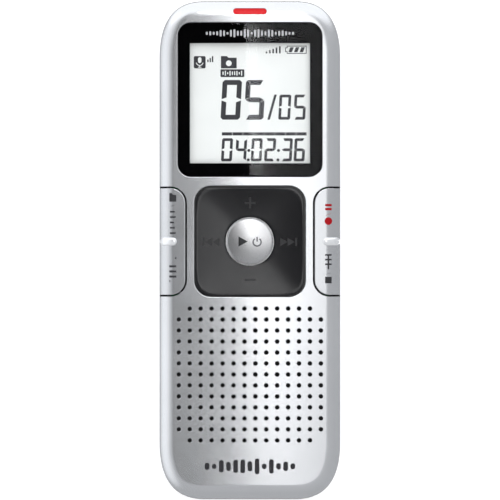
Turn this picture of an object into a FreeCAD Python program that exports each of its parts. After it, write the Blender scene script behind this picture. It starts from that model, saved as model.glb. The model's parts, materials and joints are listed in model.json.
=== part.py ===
import FreeCAD, Part
import math
import os

# A slim pocket voice recorder lying on its back.
# +X is to its right, +Y points to the display end and +Z comes out of its face.
# The origin is the middle of the back. All values are millimetres and degrees.

Vec = FreeCAD.Vector

# ---------------------------------------------------------------- driving dimensions
HALF_WIDTH = 19.5
FRONT_HALF_LENGTH = 53.6
REAR_HALF_LENGTH = 54.0
THICKNESS = 18.0
SEAM_Z = 7.8
CORNER_ACROSS = 9.5
CORNER_ALONG = 12.0
CORNER_FULLNESS = 0.664
CROWN_RADIUS = 150.0
FRONT_EDGE_RADIUS = 3.2
REAR_EDGE_RADIUS = 4.0
WALL = 1.5
SEAM_GAP = 0.2
FAR = 400.0

# inner ceilings of the front shell, from the display end to the speaker end
CEILING_DISPLAY_Z = 15.2
CEILING_KEYS_Z = 16.4
CEILING_SPEAKER_Z = 16.3
CEILING_DISPLAY_Y = 14.8
CEILING_KEYS_Y = -11.4

# display lens, glass and window
LENS_WIDTH = 30.95
LENS_LENGTH = 33.1
LENS_Y = 32.4
LENS_CORNER = 2.8
LENS_GAP = 0.08
LENS_SINK = 0.05
LENS_THICKNESS = 1.1
TAPE_THICKNESS = 0.15
GLASS_Y = 31.65
WINDOW_SIDE = 26.4
GLASS_SIDE = 27.2
GLASS_Z = (14.2, 15.1)
REFLECTOR_Z = (13.95, 14.18)
FRAME_SIDE = (29.2, 29.0)

# main board
BOARD_Z = (12.9, 13.7)
BOARD_HALF_WIDTH = 17.0
BOARD_HALF_LENGTH = 51.0
BOARD_LOW_Y = -10.5

# navigation pad and play button
PAD_Y = 1.9
PAD_SIDE = 23.3
PAD_CORNER = 3.3
PAD_GAP = 0.33
PAD_BOTTOM_Z = 15.4
PAD_RIM_Z = 17.5
PAD_DISH = 0.42
PAD_FLANGE_SIDE = 25.0
PAD_FLANGE_CORNER = 4.8
PAD_FLANGE_THICKNESS = 0.4
FLANGE_THICKNESS = 0.5
ROCKER_RING_RADII = (6.1, 7.1)
ROCKER_RING_Z = (14.75, 15.1)
PLAY_RADIUS = 5.0
PLAY_HOLE_RADIUS = 5.2
PLAY_FLANGE_RADIUS = 5.9
PLAY_EDGE_Z = 17.25
PLAY_DOME = 0.45
PLAY_PLUNGER_RADIUS = 1.2
PLUNGER_END_Z = 15.35
SWITCH_RING = 8.5

# side keys
KEY_Y = 1.86
KEY_LENGTH = 23.0
KEY_BLOCK_WIDTH = 12.0
KEY_INNER_X = 13.9
KEY_CORNER = 3.25
KEY_GAP = 0.36
KEY_SILL_Z = 10.5
KEY_SILL_CORNER = 1.6
KEY_SILL_GAP = 0.4
KEY_SKIN_Z = 15.9
KEY_SIDE_X = 17.6
KEY_FLANGE_X = 13.1
KEY_SWITCH_X = 15.4
KEY_SWITCH_OFFSET = 8.0
KEY_PLUNGER_RADIUS = 1.0
KEY_PIVOT_X = (14.2, 17.2)
KEY_PIVOT_Z = 15.1
KEY_PIVOT_RADIUS = 0.5
RIDGE_SIZE = (3.7, 1.74)
RIDGE_X = 17.57
RIDGE_HEIGHT = 0.42
RIDGE_BOTTOM_Z = 13.8

# key domes and mat
DOME_HEIGHT = 0.4
MAT_Z = (14.2, 14.45)
MAT_BUMP_Z = 14.85

# record light
LIGHT_Y = 51.4
LIGHT_SIZE = (7.2, 1.3)
LIGHT_BOTTOM_Z = 14.6

# speaker and grille
GRILLE_Y = -26.75
GRILLE_COLUMNS = 14
GRILLE_ROWS = 13
GRILLE_PITCH_X = 2.353
GRILLE_PITCH_Y = 2.364
GRILLE_HOLE_RADIUS = 0.47
SPEAKER_RADIUS = 14.0
SPEAKER_Z = (13.0, 15.6)
SPEAKER_SHEET = 0.45
MAGNET_RADIUS = 6.3
MAGNET_THICKNESS = 1.0
COIL_RADII = (4.4, 4.7)
COIL_RISE = (1.2, 1.58)
CONE_PROFILE = ((0, 1.95), (2.4, 1.9), (4.6, 1.75), (8.5, 2.1), (11.2, 2.35), (13.1, 2.35))
CONE_THICKNESS = 0.15
GASKET_WIDTH = 0.8
CLOTH_SIZE = (33.2, 31.0)
CLOTH_Z = (16.0, 16.25)

# battery bay, cells and cover
CELL_RADIUS = 5.25
CELL_LENGTH = 44.5
CELL_NUB = (1.9, 1.0)
CELL_X = 5.45
CELL_Z = 6.95
BAY_HALF_WIDTH = 11.0
BAY_WALL = 0.5
BAY_Y = (-50.4, -2.6)
BAY_CEILING_Z = (12.35, 12.85)
COVER_HALF_WIDTH = 14.0
COVER_TOP_Y = -3.0
COVER_THICKNESS = 1.4
COVER_GAP = 0.15
COVER_END_Z = 7.7
TONGUE_REACH = 0.5
TONGUE_Z = (0.6, 1.05)
GRIP_COUNT = 5
GRIP_SIZE = (13.0, 0.7)
GRIP_PITCH = 1.6
GRIP_DEPTH = 0.35
GRIP_START = 4.5
BAY_END_WALL = 0.8
LEDGE_TOP_Z = 2.4
CONTACT_THICKNESS = 0.3

# sockets, switch and microphones on the edges
JACK_X = 4.0
JACK_Z = 10.5
JACK_BORE_RADIUS = 1.78
JACK_NOSE_RADIUS = 2.35
JACK_LENGTH = 13.0
SIDE_PART_Y = 28.0
USB_Z = 10.95
USB_SIZE = (9.2, 7.7, 3.9)
HOLD_Z = 10.4
HOLD_TRAVEL = 2.5
HOLD_CAP_LENGTH = 7.5
MIC_X = 9.6
MIC_Z = 10.2
MIC_RADIUS = 2.0
MIC_PORT_RADIUS = 0.6
MIC_BACK_Y = 49.4

# case screws
UPPER_SCREW = (13.6, 47.9)
LOWER_SCREW = (13.45, -46.5)
SCREW_HEAD_Z = 7.8
SCREW_HEAD_RADIUS = 1.35
SCREW_SHANK_RADIUS = 0.8
SCREW_TIP_Z = 14.4
BOSS_RADIUS = 1.9
BOSS_JOIN_Z = 9.0
CROSS_SLOT = (1.7, 0.35)
CROSS_SLOT_DEPTH = 0.6

LABEL_SIZE = (24.0, 15.0)
LABEL_Y = 27.0
LABEL_THICKNESS = 0.12
LABEL_CORNER = 0.9

# ---------------------------------------------------------------- building blocks


def box(x, y, z):
    """Box between two X values, two Y values and two Z values."""
    low = Vec(min(x), min(y), min(z))
    return Part.makeBox(abs(x[1] - x[0]), abs(y[1] - y[0]), abs(z[1] - z[0]), low)


def centred_box(width, length, centre, z):
    """Box of a width and a length about a point in plan."""
    cx, cy = centre
    return box((cx - width / 2, cx + width / 2), (cy - length / 2, cy + length / 2), z)


def disc(radius, centre, z):
    """Upright cylinder about a point in plan."""
    return Part.makeCylinder(radius, z[1] - z[0], Vec(centre[0], centre[1], z[0]))


def along_y(radius, x, z, y):
    """Cylinder lying along Y."""
    return Part.makeCylinder(radius, y[1] - y[0], Vec(x, y[0], z), Vec(0, 1, 0))


def along_x(radius, y, z, x):
    """Cylinder lying along X."""
    return Part.makeCylinder(radius, x[1] - x[0], Vec(x[0], y, z), Vec(1, 0, 0))


def rounded_box(width, length, corner, centre, z):
    """Upright prism with a rounded rectangle as its plan."""
    block = centred_box(width, length, centre, z)
    uprights = [e for e in block.Edges if e.BoundBox.ZLength > (z[1] - z[0]) * 0.99]
    return block.makeFillet(corner, uprights)


def pill(width, length, centre, z):
    """Upright prism with fully rounded ends along X."""
    reach = width / 2 - length / 2
    middle = centred_box(2 * reach, length, centre, z)
    ends = [disc(length / 2, (centre[0] + s * reach, centre[1]), z) for s in (-1, 1)]
    return middle.fuse(ends).removeSplitter()


def outline_face(inset, half_length, z):
    """Plan of the case: straight sides and ends joined by full, soft corner curves."""
    side = HALF_WIDTH - inset
    end = half_length - inset
    flat_x = HALF_WIDTH - CORNER_ACROSS
    flat_y = half_length - CORNER_ALONG
    bulge_x = flat_x + CORNER_FULLNESS * (side - flat_x)
    bulge_y = flat_y + CORNER_FULLNESS * (end - flat_y)
    edges = []
    for sx, sy in ((1, 1), (-1, 1), (-1, -1), (1, -1)):
        poles = [Vec(sx * side, sy * flat_y, z), Vec(sx * side, sy * bulge_y, z),
                 Vec(sx * bulge_x, sy * end, z), Vec(sx * flat_x, sy * end, z)]
        corner = Part.BezierCurve()
        corner.setPoles(poles)
        edges.append(corner.toShape())
    for s in (1, -1):
        edges.append(Part.makeLine(Vec(s * side, -flat_y, z), Vec(s * side, flat_y, z)))
        edges.append(Part.makeLine(Vec(-flat_x, s * end, z), Vec(flat_x, s * end, z)))
    return Part.Face(Part.Wire(Part.__sortEdges__(edges)))


def outline_prism(inset, half_length, z):
    """Upright prism with the case's plan, moved in by an inset."""
    return outline_face(inset, half_length, z[0]).extrude(Vec(0, 0, z[1] - z[0]))


def under_crown(depth):
    """Everything below the crowned face, a depth under its surface."""
    centre = Vec(0, -FAR / 2, THICKNESS - CROWN_RADIUS)
    return Part.makeCylinder(CROWN_RADIUS - depth, FAR, centre, Vec(0, 1, 0))


def crown_layer(shape, top_depth, bottom_depth):
    """Part of a shape between two depths under the crowned face."""
    return shape.common(under_crown(top_depth)).cut(under_crown(bottom_depth))


def mirrored(shape):
    """Copy on the other side of the middle plane X = 0."""
    return shape.mirror(Vec(0, 0, 0), Vec(1, 0, 0))


def both_sides(shape):
    """A shape and its mirror image."""
    return [shape, mirrored(shape)]


def four_corners():
    """Places of the four case screws."""
    return [(s * x, y) for x, y in (UPPER_SCREW, LOWER_SCREW) for s in (1, -1)]


def front_form():
    """Solid outer form of the front half, with its crown and soft edge."""
    block = outline_prism(0, FRONT_HALF_LENGTH, (SEAM_Z + SEAM_GAP, THICKNESS + 1))
    block = block.common(under_crown(0))
    rim = [e for e in block.Edges if e.BoundBox.ZMin > SEAM_Z + 2 * WALL]
    return block.makeFillet(FRONT_EDGE_RADIUS, rim)


def rear_form(inset):
    """Solid outer form of the rear half, moved in by an inset."""
    block = outline_prism(inset, REAR_HALF_LENGTH, (inset, SEAM_Z))
    rim = [e for e in block.Edges if e.BoundBox.ZMax < inset + 0.01]
    return block.makeFillet(REAR_EDGE_RADIUS - inset, rim)


# ---------------------------------------------------------------- the case

FORM = front_form()


def key_plan(gap):
    """Prism with the plan and side view of the right side key, grown by a gap."""
    width = KEY_BLOCK_WIDTH + gap
    centre = (KEY_INNER_X - gap + width / 2, KEY_Y)
    plan = rounded_box(width, KEY_LENGTH + 2 * gap, KEY_CORNER + gap, centre, (0, FAR / 4))
    sill = KEY_SILL_Z - (KEY_SILL_GAP if gap else 0)
    side = box((0, HALF_WIDTH + 1), (KEY_Y - KEY_LENGTH / 2 - gap, KEY_Y + KEY_LENGTH / 2 + gap),
               (sill, FAR / 4))
    low_ends = [e for e in side.Edges
                if e.BoundBox.XLength > 1 and e.BoundBox.ZMax < sill + 0.01]
    return plan.common(side.makeFillet(KEY_SILL_CORNER + gap, low_ends))


def grille_holes():
    """Round holes of the speaker grille; the end rows have no outermost holes."""
    holes = []
    for row in range(GRILLE_ROWS):
        y = GRILLE_Y + (row - (GRILLE_ROWS - 1) / 2) * GRILLE_PITCH_Y
        short_row = row in (0, GRILLE_ROWS - 1)
        for column in range(GRILLE_COLUMNS):
            if short_row and column in (0, GRILLE_COLUMNS - 1):
                continue
            x = (column - (GRILLE_COLUMNS - 1) / 2) * GRILLE_PITCH_X
            holes.append(disc(GRILLE_HOLE_RADIUS, (x, y), (CEILING_SPEAKER_Z - 1, THICKNESS + 1)))
    return holes


def front_shell():
    """Silver front half: outer form less its cavity and every opening."""
    low = SEAM_Z
    cavity_plan = outline_prism(WALL, FRONT_HALF_LENGTH, (low, CEILING_KEYS_Z))
    far_x = (-FAR / 4, FAR / 4)
    display_room = cavity_plan.common(box(far_x, (CEILING_DISPLAY_Y, FAR / 4), (low, CEILING_DISPLAY_Z)))
    keys_room = cavity_plan.common(box(far_x, (CEILING_KEYS_Y, CEILING_DISPLAY_Y), (low, CEILING_KEYS_Z)))
    speaker_room = cavity_plan.common(box(far_x, (-FAR / 4, CEILING_KEYS_Y), (low, CEILING_SPEAKER_Z)))
    shell = FORM.cut([display_room, keys_room, speaker_room])

    bosses = []
    for centre in four_corners():
        ceiling = CEILING_DISPLAY_Z if centre[1] > 0 else CEILING_SPEAKER_Z
        bosses.append(disc(BOSS_RADIUS, centre, (BOSS_JOIN_Z, ceiling + 0.3)))
    shell = shell.fuse(bosses)
    pilot_z = (BOSS_JOIN_Z - 1, SCREW_TIP_Z + 0.4)
    pilots = [disc(SCREW_SHANK_RADIUS + 0.05, centre, pilot_z) for centre in four_corners()]

    seat = rounded_box(LENS_WIDTH + 2 * LENS_GAP, LENS_LENGTH + 2 * LENS_GAP, LENS_CORNER + LENS_GAP,
                       (0, LENS_Y), (0, FAR / 4))
    seat = seat.cut(under_crown(LENS_SINK + LENS_THICKNESS + TAPE_THICKNESS))
    window = rounded_box(WINDOW_SIDE, WINDOW_SIDE, 0.5, (0, GLASS_Y), (low, FAR / 4))
    pad_hole = rounded_box(PAD_SIDE + 2 * PAD_GAP, PAD_SIDE + 2 * PAD_GAP, PAD_CORNER + PAD_GAP,
                           (0, PAD_Y), (low, FAR / 4))
    light_hole = pill(LIGHT_SIZE[0] + 0.06, LIGHT_SIZE[1] + 0.06, (0, LIGHT_Y), (low, FAR / 4))
    shell = shell.cut(pilots + [seat, window, pad_hole, light_hole] + both_sides(key_plan(KEY_GAP)))

    end = (FRONT_HALF_LENGTH - WALL - 1, FRONT_HALF_LENGTH + 1)
    ports = []
    for s in (-1, 1):
        ports.append(along_y(JACK_NOSE_RADIUS + 0.05, s * JACK_X, JACK_Z, end))
        ports.append(along_y(MIC_PORT_RADIUS, s * MIC_X, MIC_Z, (end[0] - 1.5, end[1])))
    usb_hole = box((-HALF_WIDTH - 1, -HALF_WIDTH + WALL + 0.5),
                   (SIDE_PART_Y - USB_SIZE[1] / 2 - 0.2, SIDE_PART_Y + USB_SIZE[1] / 2 + 0.2),
                   (USB_Z - USB_SIZE[2] / 2 - 0.2, USB_Z + USB_SIZE[2] / 2 + 0.2))
    half_slot = (HOLD_CAP_LENGTH + HOLD_TRAVEL) / 2 + 0.2
    hold_hole = box((HALF_WIDTH - WALL - 0.5, HALF_WIDTH + 1),
                    (SIDE_PART_Y - half_slot, SIDE_PART_Y + half_slot), (HOLD_Z - 1.3, HOLD_Z + 1.3))
    shell = shell.cut(ports + [usb_hole, hold_hole])
    return shell.cut(Part.makeCompound(grille_holes()))


def battery_bay():
    """Walls, ceiling and cover ledge of the battery bay, with the cells' room taken out."""
    y0, y1 = BAY_Y
    outer_y = (y0 - BAY_END_WALL, y1 + BAY_END_WALL)
    outer = box((-BAY_HALF_WIDTH - BAY_WALL, BAY_HALF_WIDTH + BAY_WALL), outer_y, (WALL, BAY_CEILING_Z[1]))
    ledge = outline_prism(WALL - 0.1, REAR_HALF_LENGTH, (WALL, LEDGE_TOP_Z))
    ledge = ledge.common(box((-FAR / 4, FAR / 4), outer_y, (0, THICKNESS)))
    ledge = ledge.common(rear_form(0))
    room = box((-BAY_HALF_WIDTH, BAY_HALF_WIDTH), (y0, y1), (-1, BAY_CEILING_Z[0]))
    slots = [centred_box(3.4, CONTACT_THICKNESS + 0.1, (s * CELL_X, y1 - CONTACT_THICKNESS / 2),
                         (BAY_CEILING_Z[0] - 1, BAY_CEILING_Z[1] + 1)) for s in (-1, 1)]
    return outer.fuse(ledge), [room] + slots


def cover_zone(gap):
    """Region of the rear form that the battery cover takes up, grown by a gap."""
    half = COVER_HALF_WIDTH + gap
    plate = box((-half, half), (-FAR / 4, COVER_TOP_Y + gap), (-1, COVER_END_Z + gap + 1))
    tongue = box((-half - TONGUE_REACH, half + TONGUE_REACH), (-FAR / 4, COVER_TOP_Y + gap),
                 (TONGUE_Z[0] - gap / 2, TONGUE_Z[1] + gap / 2))
    return plate.fuse(tongue)


def rear_shell():
    """Rear half: thin tray, battery bay, screw towers and the opening for the cover."""
    skin = rear_form(0).cut(rear_form(WALL)).cut(cover_zone(COVER_GAP))
    bay, rooms = battery_bay()
    cover_end = box((-COVER_HALF_WIDTH - COVER_GAP, COVER_HALF_WIDTH + COVER_GAP),
                    (-FAR / 4, REAR_EDGE_RADIUS + 1.0 - REAR_HALF_LENGTH), (-1, LEDGE_TOP_Z + 0.05))
    towers = []
    bores = [cover_end]
    for centre in four_corners():
        open_z = -1 if centre[1] > 0 else WALL - 0.1
        towers.append(disc(BOSS_RADIUS, centre, (WALL - 0.1, BOSS_JOIN_Z)))
        bores.append(disc(SCREW_HEAD_RADIUS + 0.15, centre, (open_z, SCREW_HEAD_Z)))
        bores.append(disc(SCREW_SHANK_RADIUS + 0.1, centre, (open_z, BOSS_JOIN_Z + 1)))
    label_seat = rounded_box(LABEL_SIZE[0] + 0.3, LABEL_SIZE[1] + 0.3, 1.0, (0, LABEL_Y),
                             (-1, LABEL_THICKNESS + 0.03))
    shell = skin.fuse([bay] + towers).cut(rooms + bores + [label_seat])
    return shell.removeSplitter()


def battery_cover():
    """Sliding cover: flat plate, curved end and thin tongues that run in the rear shell."""
    skin = rear_form(0).cut(rear_form(COVER_THICKNESS)).common(cover_zone(0))
    skin = skin.cut(box((-FAR / 4, FAR / 4), (-FAR / 4, FAR / 4), (COVER_END_Z, THICKNESS)))
    grooves = []
    for i in range(GRIP_COUNT):
        y = COVER_TOP_Y - GRIP_START - GRIP_PITCH * i
        grooves.append(centred_box(GRIP_SIZE[0], GRIP_SIZE[1], (0, y), (-0.1, GRIP_DEPTH)))
    return skin.cut(grooves)


def screws():
    """Four case screws, each with a head, a shank and a cross slot."""
    made = []
    for centre in four_corners():
        head = disc(SCREW_HEAD_RADIUS, centre, (SCREW_HEAD_Z - 1.1, SCREW_HEAD_Z - 0.02))
        shank = disc(SCREW_SHANK_RADIUS, centre, (SCREW_HEAD_Z - 0.5, SCREW_TIP_Z))
        long, short = CROSS_SLOT
        slot_z = (0, SCREW_HEAD_Z - CROSS_SLOT_DEPTH)
        slots = [centred_box(long, short, centre, slot_z), centred_box(short, long, centre, slot_z)]
        made.append(head.fuse(shank).cut(slots))
    return Part.makeCompound(made)


def rating_label():
    """Blank label let into the back."""
    return rounded_box(LABEL_SIZE[0], LABEL_SIZE[1], LABEL_CORNER, (0, LABEL_Y),
                       (0.03, 0.03 + LABEL_THICKNESS))


# ---------------------------------------------------------------- display and record light


def display_lens():
    """Black-edged clear lens that follows the crown of the face."""
    plan = rounded_box(LENS_WIDTH, LENS_LENGTH, LENS_CORNER, (0, LENS_Y), (0, FAR / 4))
    return crown_layer(plan, LENS_SINK, LENS_SINK + LENS_THICKNESS)


def lens_tape():
    """Thin frame of double-sided tape between the lens and its seat."""
    plan = rounded_box(LENS_WIDTH - 0.4, LENS_LENGTH - 0.4, LENS_CORNER - 0.2, (0, LENS_Y), (0, FAR / 4))
    plan = plan.cut(rounded_box(WINDOW_SIDE + 0.4, WINDOW_SIDE + 0.4, 0.7, (0, GLASS_Y), (0, FAR / 4)))
    top = LENS_SINK + LENS_THICKNESS
    return crown_layer(plan, top, top + TAPE_THICKNESS)


def display_frame():
    """Moulded frame that holds the display glass over the main board."""
    width, length = FRAME_SIDE
    frame = centred_box(width, length, (0, GLASS_Y), (BOARD_Z[1], GLASS_Z[1]))
    inner = centred_box(GLASS_SIDE + 0.1, GLASS_SIDE + 0.1, (0, GLASS_Y), (BOARD_Z[1] - 1, FAR / 4))
    reliefs = [disc(BOSS_RADIUS + 0.05, (s * UPPER_SCREW[0], UPPER_SCREW[1]), (0, FAR / 4)) for s in (-1, 1)]
    return frame.cut([inner] + reliefs)


def display_pieces():
    """Glass, reflector and the rubber strip that joins the glass to the board."""
    low_edge = GLASS_Y - GLASS_SIDE / 2
    glass = centred_box(GLASS_SIDE, GLASS_SIDE, (0, GLASS_Y), GLASS_Z)
    reflector = centred_box(GLASS_SIDE - 0.6, GLASS_SIDE - 3.2, (0, GLASS_Y + 1.2), REFLECTOR_Z)
    strip = centred_box(GLASS_SIDE - 3, 1.6, (0, low_edge + 1.1), (BOARD_Z[1], GLASS_Z[0]))
    return {"display_glass": glass, "display_reflector": reflector, "display_connector_strip": strip}


def record_light_pipe():
    """Red pill-shaped window that follows the rounded top end."""
    return pill(LIGHT_SIZE[0], LIGHT_SIZE[1], (0, LIGHT_Y), (LIGHT_BOTTOM_Z, FAR / 4)).common(FORM)


# ---------------------------------------------------------------- pad, play button and side keys


def navigation_pad():
    """Square pad with a dished top, a retaining flange and a hole for the play button."""
    pad = rounded_box(PAD_SIDE, PAD_SIDE, PAD_CORNER, (0, PAD_Y), (PAD_BOTTOM_Z, PAD_RIM_Z))
    flange = rounded_box(PAD_FLANGE_SIDE, PAD_FLANGE_SIDE, PAD_FLANGE_CORNER, (0, PAD_Y),
                         (PAD_BOTTOM_Z, PAD_BOTTOM_Z + PAD_FLANGE_THICKNESS))
    dish_radius = (PAD_SIDE / 2) ** 2 / (2 * PAD_DISH)
    dish = Part.makeSphere(dish_radius, Vec(0, PAD_Y, PAD_RIM_Z - PAD_DISH + dish_radius))
    hole = disc(PLAY_HOLE_RADIUS, (0, PAD_Y), (0, FAR / 4))
    room = disc(PLAY_FLANGE_RADIUS + 0.5, (0, PAD_Y), (0, PAD_BOTTOM_Z + FLANGE_THICKNESS + 0.4))
    return pad.fuse(flange).cut([dish, hole, room])


def pad_rocker_ring():
    """Ring under the pad; the pad and the ring rock together one way, the pad alone the other."""
    inner, outer = ROCKER_RING_RADII
    return disc(outer, (0, PAD_Y), ROCKER_RING_Z).cut(disc(inner, (0, PAD_Y), (0, FAR / 4)))


def play_button():
    """Round button with a domed top, a retaining flange and a plunger."""
    stem = disc(PLAY_RADIUS, (0, PAD_Y), (PLUNGER_END_Z + 0.1, PLAY_EDGE_Z + PLAY_DOME))
    dome_radius = (PLAY_RADIUS ** 2 + PLAY_DOME ** 2) / (2 * PLAY_DOME)
    dome = Part.makeSphere(dome_radius, Vec(0, PAD_Y, PLAY_EDGE_Z + PLAY_DOME - dome_radius))
    flange = disc(PLAY_FLANGE_RADIUS, (0, PAD_Y), (PLUNGER_END_Z + 0.1, PAD_BOTTOM_Z + FLANGE_THICKNESS))
    plunger = disc(PLAY_PLUNGER_RADIUS, (0, PAD_Y), (PLUNGER_END_Z, PLUNGER_END_Z + 0.3))
    return stem.common(dome).fuse([flange, plunger])


def touch_ridge():
    """Raised pill across the middle of the right side key; its top follows the case."""
    raised = FORM.copy()
    raised.translate(Vec(0, 0, RIDGE_HEIGHT))
    plan = pill(RIDGE_SIZE[0], RIDGE_SIZE[1], (RIDGE_X, KEY_Y), (RIDGE_BOTTOM_Z, FAR / 4))
    return plan.common(raised)


def right_key():
    """Rocker key that wraps over the edge: skin, flange, two plungers, pivot rib and touch ridge."""
    key = FORM.common(key_plan(0)).fuse(touch_ridge())
    key = key.cut(box((0, KEY_SIDE_X), (-FAR / 4, FAR / 4), (0, KEY_SKIN_Z)))
    flange_reach = KEY_LENGTH / 2 - 0.7
    pieces = [box((KEY_FLANGE_X, KEY_INNER_X + 1.0), (KEY_Y - flange_reach, KEY_Y + flange_reach),
                  (PAD_BOTTOM_Z, PAD_BOTTOM_Z + FLANGE_THICKNESS))]
    join_z = KEY_SKIN_Z + 0.1
    for s in (-1, 1):
        centre = (KEY_SWITCH_X, KEY_Y + s * KEY_SWITCH_OFFSET)
        pieces.append(disc(KEY_PLUNGER_RADIUS, centre, (PLUNGER_END_Z, join_z)))
    pieces.append(along_x(KEY_PIVOT_RADIUS, KEY_Y, KEY_PIVOT_Z, KEY_PIVOT_X))
    rib_y = (KEY_Y - KEY_PIVOT_RADIUS, KEY_Y + KEY_PIVOT_RADIUS)
    pieces.append(box(KEY_PIVOT_X, rib_y, (KEY_PIVOT_Z, join_z)))
    return key.fuse(pieces)


def key_mat():
    """Silicone mat over the domes: thin web, raised bumps and a rim that stands on the board."""
    y = (KEY_Y - KEY_LENGTH / 2 + 0.3, KEY_Y + KEY_LENGTH / 2 - 0.3)
    edge = BOARD_HALF_WIDTH
    web = box((-edge, edge), y, MAT_Z)
    rim = box((-edge, edge), y, (BOARD_Z[1], MAT_Z[0]))
    rim = rim.cut(box((-edge + 0.1, edge - 0.1), (y[0] + 0.6, y[1] - 0.6), (0, FAR / 4)))
    bumps = [disc(KEY_PLUNGER_RADIUS, place, (MAT_Z[1], MAT_BUMP_Z)) for name, place, _ in dome_places()
             if name != "centre_dome"]
    return web.fuse([rim] + bumps)


def dome_places():
    """Name, place and radius of each key dome."""
    ring = SWITCH_RING
    places = [("centre_dome", (0, PAD_Y), 2.5),
              ("volume_up_dome", (0, PAD_Y + ring), 2.0),
              ("volume_down_dome", (0, PAD_Y - ring), 2.0),
              ("back_dome", (-ring, PAD_Y), 2.0),
              ("forward_dome", (ring, PAD_Y), 2.0)]
    for side, s in (("left", -1), ("right", 1)):
        for end, t in (("upper", 1), ("lower", -1)):
            place = (s * KEY_SWITCH_X, KEY_Y + t * KEY_SWITCH_OFFSET)
            places.append((f"{side}_{end}_dome", place, 1.5))
    return places


def key_dome(centre, radius):
    """Thin pressed metal dome."""
    rise = DOME_HEIGHT
    ball = (radius ** 2 + rise ** 2) / (2 * rise)
    top = BOARD_Z[1] + rise
    outer = Part.makeSphere(ball, Vec(centre[0], centre[1], top - ball))
    inner = Part.makeSphere(ball - 0.1, Vec(centre[0], centre[1], top - ball))
    return disc(radius, centre, (BOARD_Z[1], top)).common(outer).cut(inner)


# ---------------------------------------------------------------- main board


def main_board():
    """Board with reliefs for the front bosses and small key locating holes."""
    inset = HALF_WIDTH - BOARD_HALF_WIDTH
    board = outline_prism(inset, BOARD_HALF_LENGTH + inset, BOARD_Z)
    board = board.common(box((-FAR / 4, FAR / 4), (BOARD_LOW_Y, FAR / 4), BOARD_Z))
    reliefs = [disc(BOSS_RADIUS + 0.05, (s * UPPER_SCREW[0], UPPER_SCREW[1]), (0, FAR / 4)) for s in (-1, 1)]
    holes = [disc(0.9, (s * 12.2, BOARD_LOW_Y + 2.0), (0, FAR / 4)) for s in (-1, 1)]
    return board.cut(reliefs + holes)


def leaded_chip(width, length, thickness, centre, legs):
    """Flat chip under the board with a row of legs on its two long sides."""
    top = BOARD_Z[0]
    body = centred_box(width, length, centre, (top - thickness - 0.1, top - 0.1))
    pitch = (length - 1.0) / (legs - 1)
    pieces = []
    for i in range(legs):
        y = centre[1] - (length - 1.0) / 2 + pitch * i
        for s in (-1, 1):
            x = centre[0] + s * (width / 2 + 0.25)
            pieces.append(centred_box(0.7, pitch * 0.45, (x, y), (top - 0.35, top)))
    return body.fuse(pieces)


def board_chips():
    """Chips, crystal, coil and capacitors on the underside of the board."""
    top = BOARD_Z[0]
    cans = []
    for x, y, radius in ((-12.5, 19.0, 2.0), (-12.5, 14.0, 2.0), (12.8, 17.0, 2.5)):
        cans.append(disc(radius, (x, y), (top - 4.2, top)))
    chips = []
    for i in range(6):
        chips.append(centred_box(0.8, 1.6, (-3.5 + 1.6 * i, 1.0), (top - 0.8, top)))
    coil_place = (12.6, 9.0)
    coil = disc(2.6, coil_place, (top - 2.4, top))
    coil = coil.fuse(centred_box(5.6, 5.6, coil_place, (top - 0.5, top)))
    crystal = pill(8.0, 3.4, (-11.4, 8.0), (top - 3.2, top))
    return {
        "processor_chip": leaded_chip(9.0, 9.0, 1.2, (0.0, 9.0), 12),
        "memory_chip": leaded_chip(12.0, 15.0, 1.1, (0.0, 25.5), 18),
        "audio_chip": leaded_chip(4.4, 6.0, 1.0, (0.0, 36.5), 8),
        "power_chip": leaded_chip(3.2, 4.0, 1.0, (8.6, 1.5), 4),
        "clock_crystal": crystal,
        "power_coil": coil,
        "tall_capacitors": Part.makeCompound(cans),
        "chip_capacitors": Part.makeCompound(chips),
        "record_light_chip": centred_box(3.0, 1.4, (0, LIGHT_Y - 1.6), (BOARD_Z[1], BOARD_Z[1] + 0.6)),
    }


# ---------------------------------------------------------------- sockets, hold switch, microphones


def audio_jack(side):
    """Moulded 3.5 mm jack with a round nose that fills its hole in the end wall."""
    x = side * JACK_X
    face = FRONT_HALF_LENGTH - 0.1
    back = face - JACK_LENGTH
    body = box((x - 3.1, x + 3.1), (back, FRONT_HALF_LENGTH - WALL - 0.15), (JACK_Z - 2.9, BOARD_Z[0]))
    nose = along_y(JACK_NOSE_RADIUS, x, JACK_Z, (face - 4, face))
    bore = along_y(JACK_BORE_RADIUS, x, JACK_Z, (back - 1, face + 1))
    return body.fuse(nose).cut(bore)


def usb_socket():
    """Sheet-metal socket open at the left side, with its tongue."""
    depth, width, height = USB_SIZE
    mouth = -HALF_WIDTH + 0.25
    y = (SIDE_PART_Y - width / 2, SIDE_PART_Y + width / 2)
    z = (USB_Z - height / 2, USB_Z + height / 2)
    sheet = 0.3
    shell = box((mouth, mouth + depth), y, z)
    room = box((mouth - 1, mouth + depth - 1.2), (y[0] + sheet, y[1] - sheet), (z[0] + sheet, z[1] - sheet))
    tongue = box((mouth + 1.0, mouth + depth - 0.6), (y[0] + 1.4, y[1] - 1.4), (USB_Z + 0.1, USB_Z + 1.0))
    return shell.cut(room).fuse(tongue)


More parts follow.
